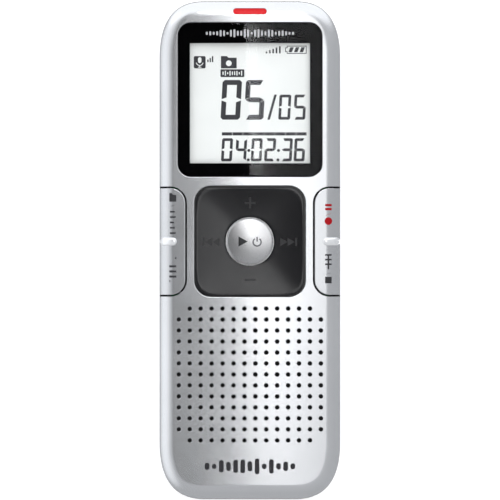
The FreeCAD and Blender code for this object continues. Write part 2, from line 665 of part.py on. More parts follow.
def hold_slider():
    """Ribbed cap in the side slot, with a flange behind the wall and a stem to the switch."""
    y = SIDE_PART_Y - HOLD_TRAVEL / 2
    outer = HALF_WIDTH - 0.25
    half = HOLD_CAP_LENGTH / 2
    cap = box((HALF_WIDTH - WALL - 0.4, outer), (y - half, y + half), (HOLD_Z - 1.1, HOLD_Z + 1.1))
    corners = [e for e in cap.Edges if e.BoundBox.XLength > 1]
    cap = cap.makeFillet(0.7, corners)
    flange = box((HALF_WIDTH - WALL - 0.7, HALF_WIDTH - WALL - 0.2), (y - half - 1.6, y + half + 1.6),
                 (HOLD_Z - 1.9, HOLD_Z + 1.9))
    stem = box((15.5, HALF_WIDTH - WALL - 0.4), (y - 0.8, y + 0.8), (HOLD_Z - 0.6, HOLD_Z + 0.6))
    grooves = [box((outer - 0.3, outer + 1), (y + 1.1 * i - 0.25, y + 1.1 * i + 0.25),
                   (HOLD_Z - 2, HOLD_Z + 2)) for i in (-2, -1, 0, 1, 2)]
    return cap.fuse([flange, stem]).cut(grooves)


def hold_switch():
    """Body of the hold switch under the board, with a slot that faces the slider's stem."""
    body = box((11.8, 15.2), (SIDE_PART_Y - 4.2, SIDE_PART_Y + 4.2), (HOLD_Z - 1.6, BOARD_Z[0]))
    slot = box((14.4, 16), (SIDE_PART_Y - 2.6, SIDE_PART_Y + 2.6), (HOLD_Z - 0.8, HOLD_Z + 0.8))
    return body.cut(slot)


def microphone(side):
    """Microphone capsule and the rubber boot around it."""
    x = side * MIC_X
    front = FRONT_HALF_LENGTH - WALL - 0.3
    capsule = along_y(MIC_RADIUS, x, MIC_Z, (MIC_BACK_Y + 0.6, front - 0.6))
    boot = along_y(MIC_RADIUS + 0.4, x, MIC_Z, (MIC_BACK_Y, front))
    mouth = along_y(MIC_PORT_RADIUS + 0.1, x, MIC_Z, (MIC_BACK_Y, front + 1))
    return capsule, boot.cut([capsule, mouth])


# ---------------------------------------------------------------- speaker


def speaker():
    """Slim round speaker: basket, magnet, voice coil, cone and gasket, and the dust cloth."""
    centre = (0, GRILLE_Y)
    low, high = SPEAKER_Z
    basket = disc(SPEAKER_RADIUS, centre, SPEAKER_Z)
    basket = basket.cut([disc(SPEAKER_RADIUS - SPEAKER_SHEET, centre, (low + SPEAKER_SHEET, high + 1)),
                         disc(MAGNET_RADIUS, centre, (low - 1, high))])
    vents = []
    for i in range(6):
        angle = math.radians(60 * i + 30)
        place = (10.0 * math.cos(angle), GRILLE_Y + 10.0 * math.sin(angle))
        vents.append(disc(1.6, place, (low - 1, low + 1)))
    magnet = disc(MAGNET_RADIUS, centre, (low, low + MAGNET_THICKNESS))
    magnet = magnet.cut(disc(1.0, centre, (low - 1, high)))
    coil = disc(COIL_RADII[1], centre, (low + COIL_RISE[0], low + COIL_RISE[1]))
    coil = coil.cut(disc(COIL_RADII[0], centre, SPEAKER_Z))
    upper = [Vec(r, GRILLE_Y, low + z) for r, z in CONE_PROFILE]
    lower = [Vec(r, GRILLE_Y, low + z - CONE_THICKNESS) for r, z in reversed(CONE_PROFILE)]
    section = Part.Face(Part.makePolygon(upper + lower + [upper[0]]))
    cone = section.revolve(Vec(0, GRILLE_Y, 0), Vec(0, 0, 1), 360)
    gasket = disc(SPEAKER_RADIUS, centre, (high, CLOTH_Z[0]))
    gasket = gasket.cut(disc(SPEAKER_RADIUS - GASKET_WIDTH, centre, (0, THICKNESS)))
    cloth = rounded_box(CLOTH_SIZE[0], CLOTH_SIZE[1], 2.0, centre, CLOTH_Z)
    return {"speaker_basket": basket.cut(vents), "speaker_magnet": magnet, "voice_coil": coil,
            "speaker_cone": cone, "speaker_gasket": gasket, "speaker_cloth": cloth}


# ---------------------------------------------------------------- cells and contacts


def cell(side):
    """AAA cell with its nub; the two cells point opposite ways."""
    x = side * CELL_X
    nub_length, nub_height = CELL_NUB
    y0, y1 = BAY_Y
    if side < 0:
        end = y1 - CONTACT_THICKNESS - 0.02
        can = along_y(CELL_RADIUS, x, CELL_Z, (end - CELL_LENGTH, end - nub_height))
        nub = along_y(nub_length, x, CELL_Z, (end - nub_height - 0.2, end))
    else:
        end = y0 + CONTACT_THICKNESS + 0.02
        can = along_y(CELL_RADIUS, x, CELL_Z, (end + nub_height, end + CELL_LENGTH))
        nub = along_y(nub_length, x, CELL_Z, (end, end + nub_height + 0.2))
    rims = [e for e in can.Edges if e.BoundBox.YLength < 0.01]
    return can.makeFillet(0.35, rims).fuse(nub)


def contact_spring(x, start_y, way):
    """Conical coil spring that pushes on the flat end of a cell."""
    free = BAY_Y[1] - BAY_Y[0] - 2 * CONTACT_THICKNESS - CELL_LENGTH
    wire = 0.22
    coils = free - 2 * wire - 0.06
    helix = Part.makeHelix(coils / 2.5, coils, 3.6, -22)
    section = Part.Wire([Part.makeCircle(wire, Vec(3.6, 0, 0), Vec(0, 1, 0))])
    spring = Part.Wire(helix.Edges).makePipeShell([section], True, True)
    spring.rotate(Vec(0, 0, 0), Vec(1, 0, 0), -90 * way)
    spring.translate(Vec(x, start_y + way * (wire - 0.05), CELL_Z))
    return spring


def contacts():
    """Bridge contact at the bottom end, positive and negative contacts at the top end."""
    y0, y1 = BAY_Y
    t = CONTACT_THICKNESS
    bridge = box((-BAY_HALF_WIDTH + 0.3, BAY_HALF_WIDTH - 0.3), (y0, y0 + t), (3.0, 10.9))
    bridge = bridge.fuse(contact_spring(-CELL_X, y0 + t, 1))
    plates = []
    for s in (-1, 1):
        plate = box((s * CELL_X - 4.2, s * CELL_X + 4.2), (y1 - t, y1), (3.0, 10.9))
        tab = box((s * CELL_X - 1.5, s * CELL_X + 1.5), (y1 - t, y1), (10.8, BOARD_Z[0]))
        plates.append(plate.fuse(tab))
    negative = plates[1].fuse(contact_spring(CELL_X, y1 - t, -1))
    return {"bridge_contact": bridge, "positive_contact": plates[0], "negative_contact": negative}


# ---------------------------------------------------------------- write every piece


def all_pieces():
    """Every piece of the recorder by name."""
    pieces = {
        "front_shell": front_shell(),
        "rear_shell": rear_shell(),
        "battery_cover": battery_cover(),
        "case_screws": screws(),
        "rating_label": rating_label(),
        "display_lens": display_lens(),
        "lens_tape": lens_tape(),
        "display_frame": display_frame(),
        "record_light_pipe": record_light_pipe(),
        "navigation_pad": navigation_pad(),
        "pad_rocker_ring": pad_rocker_ring(),
        "play_button": play_button(),
        "right_key": right_key(),
        "left_key": mirrored(right_key()),
        "key_mat": key_mat(),
        "main_board": main_board(),
        "earphone_jack": audio_jack(-1),
        "microphone_jack": audio_jack(1),
        "usb_socket": usb_socket(),
        "hold_slider": hold_slider(),
        "hold_switch": hold_switch(),
        "battery_left": cell(-1),
        "battery_right": cell(1),
    }
    pieces.update(display_pieces())
    pieces.update(board_chips())
    pieces.update(speaker())
    pieces.update(contacts())
    for name, centre, radius in dome_places():
        pieces[name] = key_dome(centre, radius)
    for side, s in (("left", -1), ("right", 1)):
        pieces[f"{side}_microphone"], pieces[f"{side}_microphone_boot"] = microphone(s)
    return pieces


def main():
    """Build every piece, write it to parts/ and print its size."""
    os.makedirs("parts", exist_ok=True)
    for name, shape in sorted(all_pieces().items()):
        shape.exportStep(f"parts/{name}.step")
        solid_count = len(shape.Solids)
        size = shape.BoundBox
        print(f"{name:26s} solids {solid_count:2d} valid {shape.isValid()} volume {shape.Volume:9.2f} "
              f"x {size.XMin:7.2f} {size.XMax:7.2f} y {size.YMin:7.2f} {size.YMax:7.2f} "
              f"z {size.ZMin:6.2f} {size.ZMax:6.2f}")


main()
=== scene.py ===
import json
import math

import bmesh
import bpy
import numpy as np
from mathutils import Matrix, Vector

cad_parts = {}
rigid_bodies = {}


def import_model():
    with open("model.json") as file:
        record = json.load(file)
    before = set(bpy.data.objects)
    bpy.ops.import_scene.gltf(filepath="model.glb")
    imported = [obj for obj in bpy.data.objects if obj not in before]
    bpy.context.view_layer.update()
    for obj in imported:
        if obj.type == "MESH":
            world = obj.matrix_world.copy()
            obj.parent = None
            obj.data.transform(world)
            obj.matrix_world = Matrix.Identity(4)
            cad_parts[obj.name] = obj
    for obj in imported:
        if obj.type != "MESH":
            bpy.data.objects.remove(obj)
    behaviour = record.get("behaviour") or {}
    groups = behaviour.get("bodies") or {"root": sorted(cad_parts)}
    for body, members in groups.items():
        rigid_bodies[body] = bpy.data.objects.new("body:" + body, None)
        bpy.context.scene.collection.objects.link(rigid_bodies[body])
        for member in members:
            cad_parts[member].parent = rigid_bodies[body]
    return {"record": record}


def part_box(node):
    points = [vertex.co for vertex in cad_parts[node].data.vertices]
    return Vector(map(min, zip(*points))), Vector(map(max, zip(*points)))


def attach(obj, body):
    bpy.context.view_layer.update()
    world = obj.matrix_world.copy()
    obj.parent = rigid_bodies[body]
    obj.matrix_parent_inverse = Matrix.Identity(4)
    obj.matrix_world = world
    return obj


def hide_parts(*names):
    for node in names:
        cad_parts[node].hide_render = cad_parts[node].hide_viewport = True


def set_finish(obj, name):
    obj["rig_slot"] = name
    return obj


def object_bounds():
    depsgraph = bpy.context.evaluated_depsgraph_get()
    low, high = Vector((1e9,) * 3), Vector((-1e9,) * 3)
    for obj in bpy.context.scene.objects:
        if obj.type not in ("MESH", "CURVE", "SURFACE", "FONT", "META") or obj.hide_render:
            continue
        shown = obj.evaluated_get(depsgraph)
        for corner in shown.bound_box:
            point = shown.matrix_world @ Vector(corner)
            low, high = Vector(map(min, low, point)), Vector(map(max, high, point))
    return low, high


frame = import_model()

cad_low, cad_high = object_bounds()

# ---------------- sizes, in metres
MM = 0.001

HALF_WIDTH = cad_high.x
THICKNESS = cad_high.z
FRONT_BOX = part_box("front_shell")
FRONT_HALF_LENGTH = FRONT_BOX[1].y
FRONT_BOTTOM_Z = FRONT_BOX[0].z
CORNER_ACROSS = 9.5 * MM
CORNER_ALONG = 12.0 * MM
CORNER_FULLNESS = 0.664
CROWN_RADIUS = 150.0 * MM
FRONT_EDGE_RADIUS = 3.2 * MM
PAINT_REACH = 0.2 * MM

# the face lies a little below the top of the CAD box, which leaves room for the ink on it
INK_ROOM = 0.01 * MM
INK_GAP = 0.004 * MM
THIN_INK = 0.006    # in millimetres, like every flat mark

# angles of a rounded edge in degrees, factors that close a loop, and heights clear of the case
ROUND_STEPS = (15, 30, 45, 60, 75, 90)
CLOSING_STEPS = (0.8, 0.6, 0.4, 0.2, 0.05)
CUT_Z = (5 * MM, 25 * MM)


def middle(node):
    """Middle of a CAD node's box."""
    low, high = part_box(node)
    return (low + high) / 2


def extent(node):
    """Size of a CAD node's box."""
    low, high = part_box(node)
    return high - low


# ---------------- loops and lofts


def rounded_loop(width, length, corner, centre=(0.0, 0.0), per_corner=12, per_side=8):
    """Points around a rounded rectangle, anticlockwise, as an (n, 2) array."""
    points = []
    for k in range(4):
        angle = math.pi / 2 * k
        sx, sy = ((1, 1), (-1, 1), (-1, -1), (1, -1))[k]
        cx = sx * (width / 2 - corner)
        cy = sy * (length / 2 - corner)
        for i in range(per_corner + 1):
            a = angle + math.pi / 2 * i / per_corner
            points.append((centre[0] + cx + corner * math.cos(a), centre[1] + cy + corner * math.sin(a)))
        nx, ny = ((-1, 1), (-1, -1), (1, -1), (1, 1))[k]
        end = (centre[0] + nx * (width / 2 - corner) + corner * math.cos(angle + math.pi / 2),
               centre[1] + ny * (length / 2 - corner) + corner * math.sin(angle + math.pi / 2))
        start = points[-1]
        for i in range(1, per_side):
            t = i / per_side
            points.append((start[0] + t * (end[0] - start[0]), start[1] + t * (end[1] - start[1])))
    return np.array(points)


def round_loop(radius, centre=(0.0, 0.0), count=48):
    """Points around a circle."""
    angles = np.linspace(0, 2 * math.pi, count, endpoint=False)
    return np.stack([centre[0] + radius * np.cos(angles), centre[1] + radius * np.sin(angles)], axis=1)


def bezier(points, count):
    """Points along a cubic curve between its four control points, without the last one."""
    t = np.linspace(0, 1, count, endpoint=False)[:, None]
    a, b, c, d = (np.array(p) for p in points)
    return (1 - t) ** 3 * a + 3 * (1 - t) ** 2 * t * b + 3 * (1 - t) * t ** 2 * c + t ** 3 * d


def case_loop(half_length, inset=0.0, per_corner=28, per_side=24, per_end=14):
    """Points around the case's plan, moved in by an inset."""
    side = HALF_WIDTH - inset
    end = half_length - inset
    flat_x = HALF_WIDTH - CORNER_ACROSS
    flat_y = half_length - CORNER_ALONG
    bulge_x = flat_x + CORNER_FULLNESS * (side - flat_x)
    bulge_y = flat_y + CORNER_FULLNESS * (end - flat_y)
    quarter = ((side, flat_y), (side, bulge_y), (bulge_x, end), (flat_x, end))
    curve = bezier(quarter, per_corner)
    back = bezier(quarter[::-1], per_corner)
    across = np.linspace(1, -1, per_end, endpoint=False)[:, None] * np.array([[flat_x, 0]])
    along = np.linspace(1, -1, per_side, endpoint=False)[:, None] * np.array([[0, flat_y]])
    return np.concatenate([
        curve,
        across + (0, end),
        back * (-1, 1),
        along + (-side, 0),
        curve * (-1, -1),
        -across + (0, -end),
        back * (1, -1),
        -along + (side, 0),
    ])


def crown(x):
    """Height of the crowned face at a distance from the middle line."""
    return THICKNESS - INK_ROOM - CROWN_RADIUS + np.sqrt(CROWN_RADIUS ** 2 - np.asarray(x) ** 2)


def crown_over(plan):
    """Height of the crowned face over plan points."""
    return crown(plan[:, 0])


def over(surface, rise):
    """Height function that runs above a surface, or below it when the rise is negative."""
    return lambda plan: surface(plan) + rise


def lifted(loop, z):
    """Plan loop with a height: a number, or a function of the points."""
    height = z(loop) if callable(z) else np.full(len(loop), z)
    return np.column_stack([loop, height])


def shrunk(loop, factor, centre=None):
    """Plan loop drawn in towards its centre."""
    centre = loop.mean(axis=0) if centre is None else np.array(centre)
    return centre + (loop - centre) * factor


def inset_square(size, corner, centre, per_side=20):
    """Function from an inset to the plan loop of a rounded rectangle; a negative inset grows it."""
    def loop_at(inset):
        return rounded_loop(size[0] - 2 * inset, size[1] - 2 * inset, corner - inset, centre, 16, per_side)
    return loop_at


def soft_edge(loop_at, surface, edge, angles=ROUND_STEPS, reach=None):
    """Loops of a quarter round that leads from an upright wall into a surface.

    loop_at gives the plan loop for an inset. The round is as deep as the edge and goes in as far as
    the reach, or the edge if there is no reach."""
    reach = edge if reach is None else reach
    loops = []
    for angle in angles:
        a = math.radians(angle)
        loops.append(lifted(loop_at(reach * (1 - math.cos(a))), over(surface, -edge * (1 - math.sin(a)))))
    return loops


def closed_over(loop, centre, surface, factors=CLOSING_STEPS):
    """Loops that close a surface from its edge loop towards a centre."""
    return [lifted(shrunk(loop, factor, centre), surface) for factor in factors]


def upright(loop, x):
    """Loop of (Y, Z) points stood up at an X."""
    return np.column_stack([np.full(len(loop), x), loop[:, 0], loop[:, 1]])


def linked(name, data):
    """Object for a mesh, a lamp or a camera, put in the scene."""
    piece = bpy.data.objects.new(name, data)
    bpy.context.scene.collection.objects.link(piece)
    return piece


def loft(name, loops, ring=False):
    """Closed mesh object through loops of equal length; a ring joins the last loop to the first."""
    count = len(loops[0])
    vertices = [tuple(v) for v in np.concatenate(loops)]
    faces = []
    for k in range(len(loops) if ring else len(loops) - 1):
        below = k * count
        above = ((k + 1) % len(loops)) * count
        for i in range(count):
            j = (i + 1) % count
            faces.append((below + i, below + j, above + j, above + i))
    if not ring:
        for start, loop, turn in ((0, loops[0], -1), ((len(loops) - 1) * count, loops[-1], 1)):
            hub = len(vertices)
            vertices.append(tuple(np.mean(loop, axis=0)))
            for i in range(count):
                faces.append((start + i, start + (i + 1) % count, hub)[::turn])
    mesh = bpy.data.meshes.new(name)
    mesh.from_pydata(vertices, [], faces)
    mesh.validate()
    return linked(name, mesh)


def joined(name, parts):
    """One object from several, with the others removed."""
    target = bmesh.new()
    for part in parts:
        target.from_mesh(part.data)
        bpy.data.objects.remove(part)
    mesh = bpy.data.meshes.new(name)
    target.to_mesh(mesh)
    target.free()
    return linked(name, mesh)


def carve(piece, cutters, operation="DIFFERENCE"):
    """Cut each cutter from a piece and apply the result to its mesh."""
    for cutter in cutters:
        step = piece.modifiers.new("carve", "BOOLEAN")
        step.operation = operation
        step.solver = "MANIFOLD"
        step.object = cutter
        graph = bpy.context.evaluated_depsgraph_get()
        result = bpy.data.meshes.new_from_object(piece.evaluated_get(graph))
        piece.modifiers.clear()
        piece.data = result
        bpy.data.objects.remove(cutter)


def soften(piece, angle=35.0):
    """Smooth shading with sharp edges kept, and normals weighted towards the large faces."""
    piece.data.shade_smooth()
    piece.data.set_sharp_from_angle(angle=math.radians(angle))
    weighted = piece.modifiers.new("weighted_normals", "WEIGHTED_NORMAL")
    weighted.keep_sharp = True


# ---------------- front shell


def front_form():
    """Solid outer form of the front half: soft lower edge, upright wall, rounded rim, crowned face."""
    break_edge = 0.2 * MM
    rim = FRONT_EDGE_RADIUS

    def front_loop(inset):
        return case_loop(FRONT_HALF_LENGTH, inset)
    loops = [lifted(front_loop(break_edge), FRONT_BOTTOM_Z),
             lifted(front_loop(break_edge * 0.3), FRONT_BOTTOM_Z + break_edge * 0.3),
             lifted(front_loop(0.0), FRONT_BOTTOM_Z + break_edge)]
    loops += soft_edge(front_loop, crown_over, rim, np.linspace(0, 90, 15))
    loops += closed_over(front_loop(rim), None, crown_over, np.linspace(0.95, 0.05, 22))
    return loft("front_shell_skin", loops)


def edge_distance(plan):
    """Distance in from the case's outline and the outward direction there, for plan points."""
    outline = case_loop(FRONT_HALF_LENGTH, 0.0, 120, 200, 60)
    run = np.roll(outline, -1, axis=0) - outline
    outward = np.stack([run[:, 1], -run[:, 0]], axis=1)
    outward /= np.linalg.norm(outward, axis=1)[:, None]
    depth = np.empty(len(plan))
    way = np.empty((len(plan), 2))
    step = 2000
    for start in range(0, len(plan), step):
        block = plan[start:start + step]
        gap = block[:, None, :] - outline[None, :, :]
        nearest = (gap ** 2).sum(axis=2).argmin(axis=1)
        depth[start:start + step] = -(gap[np.arange(len(block)), nearest] * outward[nearest]).sum(axis=1)
        way[start:start + step] = outward[nearest]
    return depth, way


def face_height(plan):
    """Height of the front form over plan points, rounded rim included."""
    depth, _ = edge_distance(np.asarray(plan, float)[:, :2])
    lean = np.clip(FRONT_EDGE_RADIUS - depth, 0, FRONT_EDGE_RADIUS)
    drop = FRONT_EDGE_RADIUS - np.sqrt(FRONT_EDGE_RADIUS ** 2 - lean ** 2)
    return crown(np.asarray(plan)[:, 0]) - drop


def surface_normal(points):
    """Outward normal of the front form at points on it."""
    depth, way = edge_distance(points[:, :2])
    lean = np.clip((FRONT_EDGE_RADIUS - depth) / FRONT_EDGE_RADIUS, 0, 1)
    rise = np.sqrt(1 - lean ** 2)
    tilt = points[:, 0] / CROWN_RADIUS
    normals = np.column_stack([way * lean[:, None], rise])
    normals[:, 0] += rise * tilt
    return normals / np.linalg.norm(normals, axis=1)[:, None]


def values_of(items, name, width=1, kind=float):
    """Array of one attribute of a mesh's vertices, corners or faces."""
    values = np.empty(len(items) * width, kind)
    items.foreach_get(name, values)
    return values.reshape(-1, width) if width > 1 else values


def true_normals(piece):
    """Give a carved piece the exact normals of the form where its faces still lie on it."""
    mesh = piece.data
    mesh.shade_smooth()
    mesh.set_sharp_from_angle(angle=math.radians(30))
    corner_normal = values_of(mesh.corner_normals, "vector", 3)
    face_normal = np.repeat(values_of(mesh.polygons, "normal", 3),
                            values_of(mesh.polygons, "loop_total", kind=int), axis=0)
    wanted = surface_normal(values_of(mesh.vertices, "co", 3))
    target = wanted[values_of(mesh.loops, "vertex_index", kind=int)]
    close = (face_normal * target).sum(axis=1) > math.cos(math.radians(ON_FORM_ANGLE))
    corner_normal[close] = target[close]
    mesh.normals_split_custom_set(corner_normal.tolist())


def mark_inner_faces(piece):
    """Second material for the faces that lie below the outer form, which the paint doesn't reach."""
    mesh = piece.data
    centres = values_of(mesh.polygons, "center", 3)
    inward, _ = edge_distance(centres[:, :2])
    below = crown(centres[:, 0]) - centres[:, 2]
    rim = FRONT_EDGE_RADIUS
    round_rim = rim - np.hypot(rim - inward, rim - below)
    depth = np.where((inward < rim) & (below < rim), round_rim, np.minimum(inward, below))
    mesh.polygons.foreach_set("material_index", (depth > PAINT_REACH).astype(np.int32))
    mesh.update()


def opening_cutter(name, loop_at, gap, lip, floor_z):
    """Cutter for an opening in the face: straight walls with a small lip that follows the crown.

    loop_at gives the plan loop of what lies in the opening for an inset, and the gap goes around it."""
    reach = 3 * MM
    steps = ((0.0, -lip), (lip * 0.3, -lip * 0.3), (lip, 0.0), (lip + reach * 0.2, reach))
    loops = [lifted(loop_at(-gap), floor_z)]
    loops += [lifted(loop_at(-gap - out), over(crown_over, rise)) for out, rise in steps]
    return loft(name, loops)


PAD_CENTRE = (0.0, middle("navigation_pad").y)
PAD_SIDE = 23.3 * MM
PAD_CORNER = 3.3 * MM
PAD_GAP = 0.33 * MM
PAD_LIP = 0.14 * MM
LENS_CENTRE = (0.0, middle("display_lens").y)
LENS_SIZE = (extent("display_lens").x, extent("display_lens").y)
LENS_CORNER = 2.8 * MM
LENS_GAP = 0.1 * MM
LENS_LIP = 0.12 * MM
LENS_SEAT_Z = 15.9 * MM
GLASS_CENTRE = (0.0, middle("display_glass").y)
GLASS_TOP_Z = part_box("display_glass")[1].z
WINDOW_SIDE = 26.4 * MM
LIGHT_CENTRE = (0.0, middle("record_light_pipe").y)
LIGHT_SIZE = (extent("record_light_pipe").x, extent("record_light_pipe").y)
KEY_Y = middle("right_key").y
KEY_LENGTH = extent("right_key").y
KEY_INNER_X = 13.9 * MM
KEY_CORNER = 3.25 * MM
KEY_GAP = 0.36 * MM
KEY_BLOCK_WIDTH = 12.0 * MM
KEY_SILL_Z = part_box("right_key")[0].z
KEY_SILL_CORNER = 1.6 * MM
KEY_SILL_GAP = 0.4 * MM
GRILLE_Y = middle("speaker_cloth").y
GRILLE_COLUMNS = 14
GRILLE_ROWS = 13
GRILLE_PITCH = (2.353 * MM, 2.364 * MM)
GRILLE_HOLE_RADIUS = 0.47 * MM
GRILLE_LIP = 0.07 * MM
ON_FORM_ANGLE = 14    # faces closer than this to the form's own slope take its normals

# hollow of the front shell: one cavity with a wall all round, and rooms (start Y, end Y, ceiling Z) above it
WALL = 1.5 * MM
CAVITY_TOP_Z = 14.0 * MM
ROOM_INSET = 2.2 * MM
ROOMS = ((14.8 * MM, 50.5 * MM, 15.2 * MM),
         (-11.4 * MM, 14.8 * MM, 16.4 * MM),
         (-52.0 * MM, -11.4 * MM, 16.3 * MM))

# holes in the end wall and in the side walls
END_WALL_Y = (45 * MM, 60 * MM)
JACK_Z = 10.5 * MM
JACK_HOLE_RADIUS = 2.4 * MM
MICROPHONE_HOLE_RADIUS = 0.6 * MM
USB_HOLE = (8.1 * MM, 4.3 * MM)
HOLD_HOLE = (10.4 * MM, 2.6 * MM)
HOLD_CENTRE = (28 * MM, 10.4 * MM)
LIGHT_GAP = 0.04 * MM


def key_block(name, gap, side):
    """Block with the plan and the side view of a side key, grown by a gap."""
    width = KEY_BLOCK_WIDTH + gap
    centre = (side * (KEY_INNER_X - gap + width / 2), KEY_Y)
    plan = rounded_loop(width, KEY_LENGTH + 2 * gap, KEY_CORNER + gap, centre, 14, 6)
    block = loft(name, [lifted(plan, z) for z in CUT_Z])
    sill = KEY_SILL_Z - (KEY_SILL_GAP if gap else 0.0)
    tall = 20 * MM
    view = rounded_loop(KEY_LENGTH + 2 * gap, tall, KEY_SILL_CORNER + gap, (KEY_Y, sill + tall / 2), 8, 2)
    ends = sorted((10 * MM * side, 25 * MM * side))
    carve(block, [loft("side_view", [upright(view, x) for x in ends])], "INTERSECT")
    return block


def grille_places():
    """Middle of each speaker hole; the end rows have no outermost holes."""
    for row in range(GRILLE_ROWS):
        for column in range(GRILLE_COLUMNS):
            if row in (0, GRILLE_ROWS - 1) and column in (0, GRILLE_COLUMNS - 1):
                continue
            yield ((column - (GRILLE_COLUMNS - 1) / 2) * GRILLE_PITCH[0],
                   GRILLE_Y + (row - (GRILLE_ROWS - 1) / 2) * GRILLE_PITCH[1])


def grille_cutter():
    """All the speaker holes as one cutter, each with a small soft lip at the face."""
    lip = GRILLE_LIP
    holes = []
    for x, y in grille_places():
        top = float(crown(x))
        loops = []
        for radius, z in ((0.0, 14 * MM), (0.0, top - lip), (lip * 0.35, top - lip * 0.3),
                          (lip * 1.2, top + 0.01 * MM), (lip * 4, top + 2 * MM)):
            loops.append(lifted(round_loop(GRILLE_HOLE_RADIUS + radius, (x, y), 24), z))
        holes.append(loft("hole", loops))
    return joined("grille_holes", holes)


def end_bore(name, x, z, radius):
    """Round cutter along Y through the top end wall."""
    ring = round_loop(radius, count=40)
    loops = [np.column_stack([x - ring[:, 0], np.full(len(ring), y), z + ring[:, 1]]) for y in END_WALL_Y]
    return loft(name, loops)


def side_slot(name, centre, size, corner, start, end):
    """Rounded rectangular cutter along X, for the two sides of the case."""
    plan = rounded_loop(size[0], size[1], corner, centre, 6, 2)
    return loft(name, [upright(plan, x) for x in (start, end)])


def hollow_out(shell):
    """Cut the cavity and the three rooms above it."""
    wall = case_loop(FRONT_HALF_LENGTH, WALL)
    carve(shell, [loft("cavity", [lifted(wall, FRONT_BOTTOM_Z - 1 * MM), lifted(wall, CAVITY_TOP_Z)])])
    plan = case_loop(FRONT_HALF_LENGTH, ROOM_INSET)
    for start, end, ceiling in ROOMS:
        room = loft("room", [lifted(plan, CAVITY_TOP_Z - 1 * MM), lifted(plan, ceiling)])
        slab = rounded_loop(2 * HALF_WIDTH, end - start, 0.5 * MM, (0.0, (start + end) / 2), 4, 2)
        carve(room, [loft("slab", [lifted(slab, 12.0 * MM), lifted(slab, THICKNESS)])], "INTERSECT")
        carve(shell, [room])


def face_cutters():
    """Cutters for the lens seat and its window, the pad, the record light, the side keys and the grille."""
    window = rounded_loop(WINDOW_SIDE, WINDOW_SIDE, 0.5 * MM, GLASS_CENTRE, 4, 2)
    width, length = (side + 2 * LIGHT_GAP for side in LIGHT_SIZE)
    light = rounded_loop(width, length, length / 2.001, LIGHT_CENTRE, 14, 2)
    lens_loop = inset_square(LENS_SIZE, LENS_CORNER, LENS_CENTRE, 24)
    pad_loop = inset_square((PAD_SIDE, PAD_SIDE), PAD_CORNER, PAD_CENTRE)
    return [opening_cutter("lens_seat", lens_loop, LENS_GAP, LENS_LIP, LENS_SEAT_Z),
            loft("window", [lifted(window, 14 * MM), lifted(window, 17 * MM)]),
            opening_cutter("pad_hole", pad_loop, PAD_GAP, PAD_LIP, CAVITY_TOP_Z),
            loft("light_hole", [lifted(light, 13 * MM), lifted(light, 20 * MM)]),
            key_block("key_hole", KEY_GAP, 1),
            key_block("key_hole", KEY_GAP, -1),
            grille_cutter()]


def wall_cutters():
    """Cutters for the sockets and microphones in the end wall, the USB socket and the hold slider."""
    cutters = []
    for node in ("earphone_jack", "microphone_jack"):
        cutters.append(end_bore("jack_hole", middle(node).x, JACK_Z, JACK_HOLE_RADIUS))
    for node in ("left_microphone", "right_microphone"):
        cutters.append(end_bore("mic_hole", middle(node).x, middle(node).z, MICROPHONE_HOLE_RADIUS))
    usb = middle("usb_socket")
    cutters.append(side_slot("usb_hole", (usb.y, usb.z), USB_HOLE, 0.5 * MM, -25 * MM, -17 * MM))
    cutters.append(side_slot("hold_hole", HOLD_CENTRE, HOLD_HOLE, 1.0 * MM, 17 * MM, 25 * MM))
    return cutters


def front_shell():
    """Smooth front shell with its cavity and all its openings."""
    shell = front_form()
    hollow_out(shell)
    carve(shell, face_cutters() + wall_cutters())
    true_normals(shell)
    shell["painted_outside"] = True
    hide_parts("front_shell")
    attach(shell, "root")
    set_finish(shell, "silver_paint")


# ---------------- flat marks


def bar_digit(value, width, height, stroke):
    """Polygons of a seven-bar digit with its lower left corner at the origin."""
    w, h, s = width, height, stroke
    mid, half = h / 2, s / 2
    cut = s * 0.45
    bars = {
        "a": [(0, h - cut), (cut, h), (w - cut, h), (w, h - cut), (w - s, h - s), (s, h - s)],
        "b": [(w, h - cut), (w, mid + 0.12 * s), (w - s, mid + half), (w - s, h - s)],
        "c": [(w, cut), (w - s, s), (w - s, mid - half), (w, mid - 0.12 * s)],
        "d": [(0, cut), (s, s), (w - s, s), (w, cut), (w - cut, 0), (cut, 0)],
        "e": [(0, cut), (0, mid - 0.12 * s), (s, mid - half), (s, s)],
        "f": [(0, h - cut), (s, h - s), (s, mid + half), (0, mid + 0.12 * s)],
        "g": [(0.1 * s, mid), (s, mid + half), (w - s, mid + half), (w - 0.1 * s, mid), (w - s, mid - half),
              (s, mid - half)],
    }
    lit = {0: "abcdef", 2: "abged", 3: "abgcd", 4: "fgbc", 5: "afgcd", 6: "afgedc"}[value]
    shapes = []
    for name in lit:
        outline = bars[name]
        if name == "a" and "f" not in lit:
            outline = [(cut, h)] + outline[2:]
        if name == "a" and "b" not in lit:
            outline = [p for p in outline if p != (w, h - cut)]
        if name == "d" and "e" not in lit:
            outline = [p for p in outline if p != (0, cut)]
        if name == "d" and "c" not in lit:
            outline = [p for p in outline if p != (w, cut)]
        shapes.append(outline)
    return shapes


def placed(shapes, x, y, lean=0.0):
    """Polygons leaned like italics and moved to a place in millimetres."""
    return [[(x + px + lean * py, y + py) for px, py in shape] for shape in shapes]


def bar(x0, x1, y0, y1):
    """Rectangle between two X values and two Y values."""
    return [(x0, y0), (x1, y0), (x1, y1), (x0, y1)]


def slash(x, reach, stroke, low, high):
    """Slanted stroke across a middle line at X, between two Y values."""
    return [(x - reach, low), (x - reach + stroke, low), (x + reach, high), (x + reach - stroke, high)]


def disc(x, y, radius, count=28):
    """Circle about a point."""
    angles = [2 * math.pi * i / count for i in range(count)]
    return [(x + radius * math.cos(a), y + radius * math.sin(a)) for a in angles]


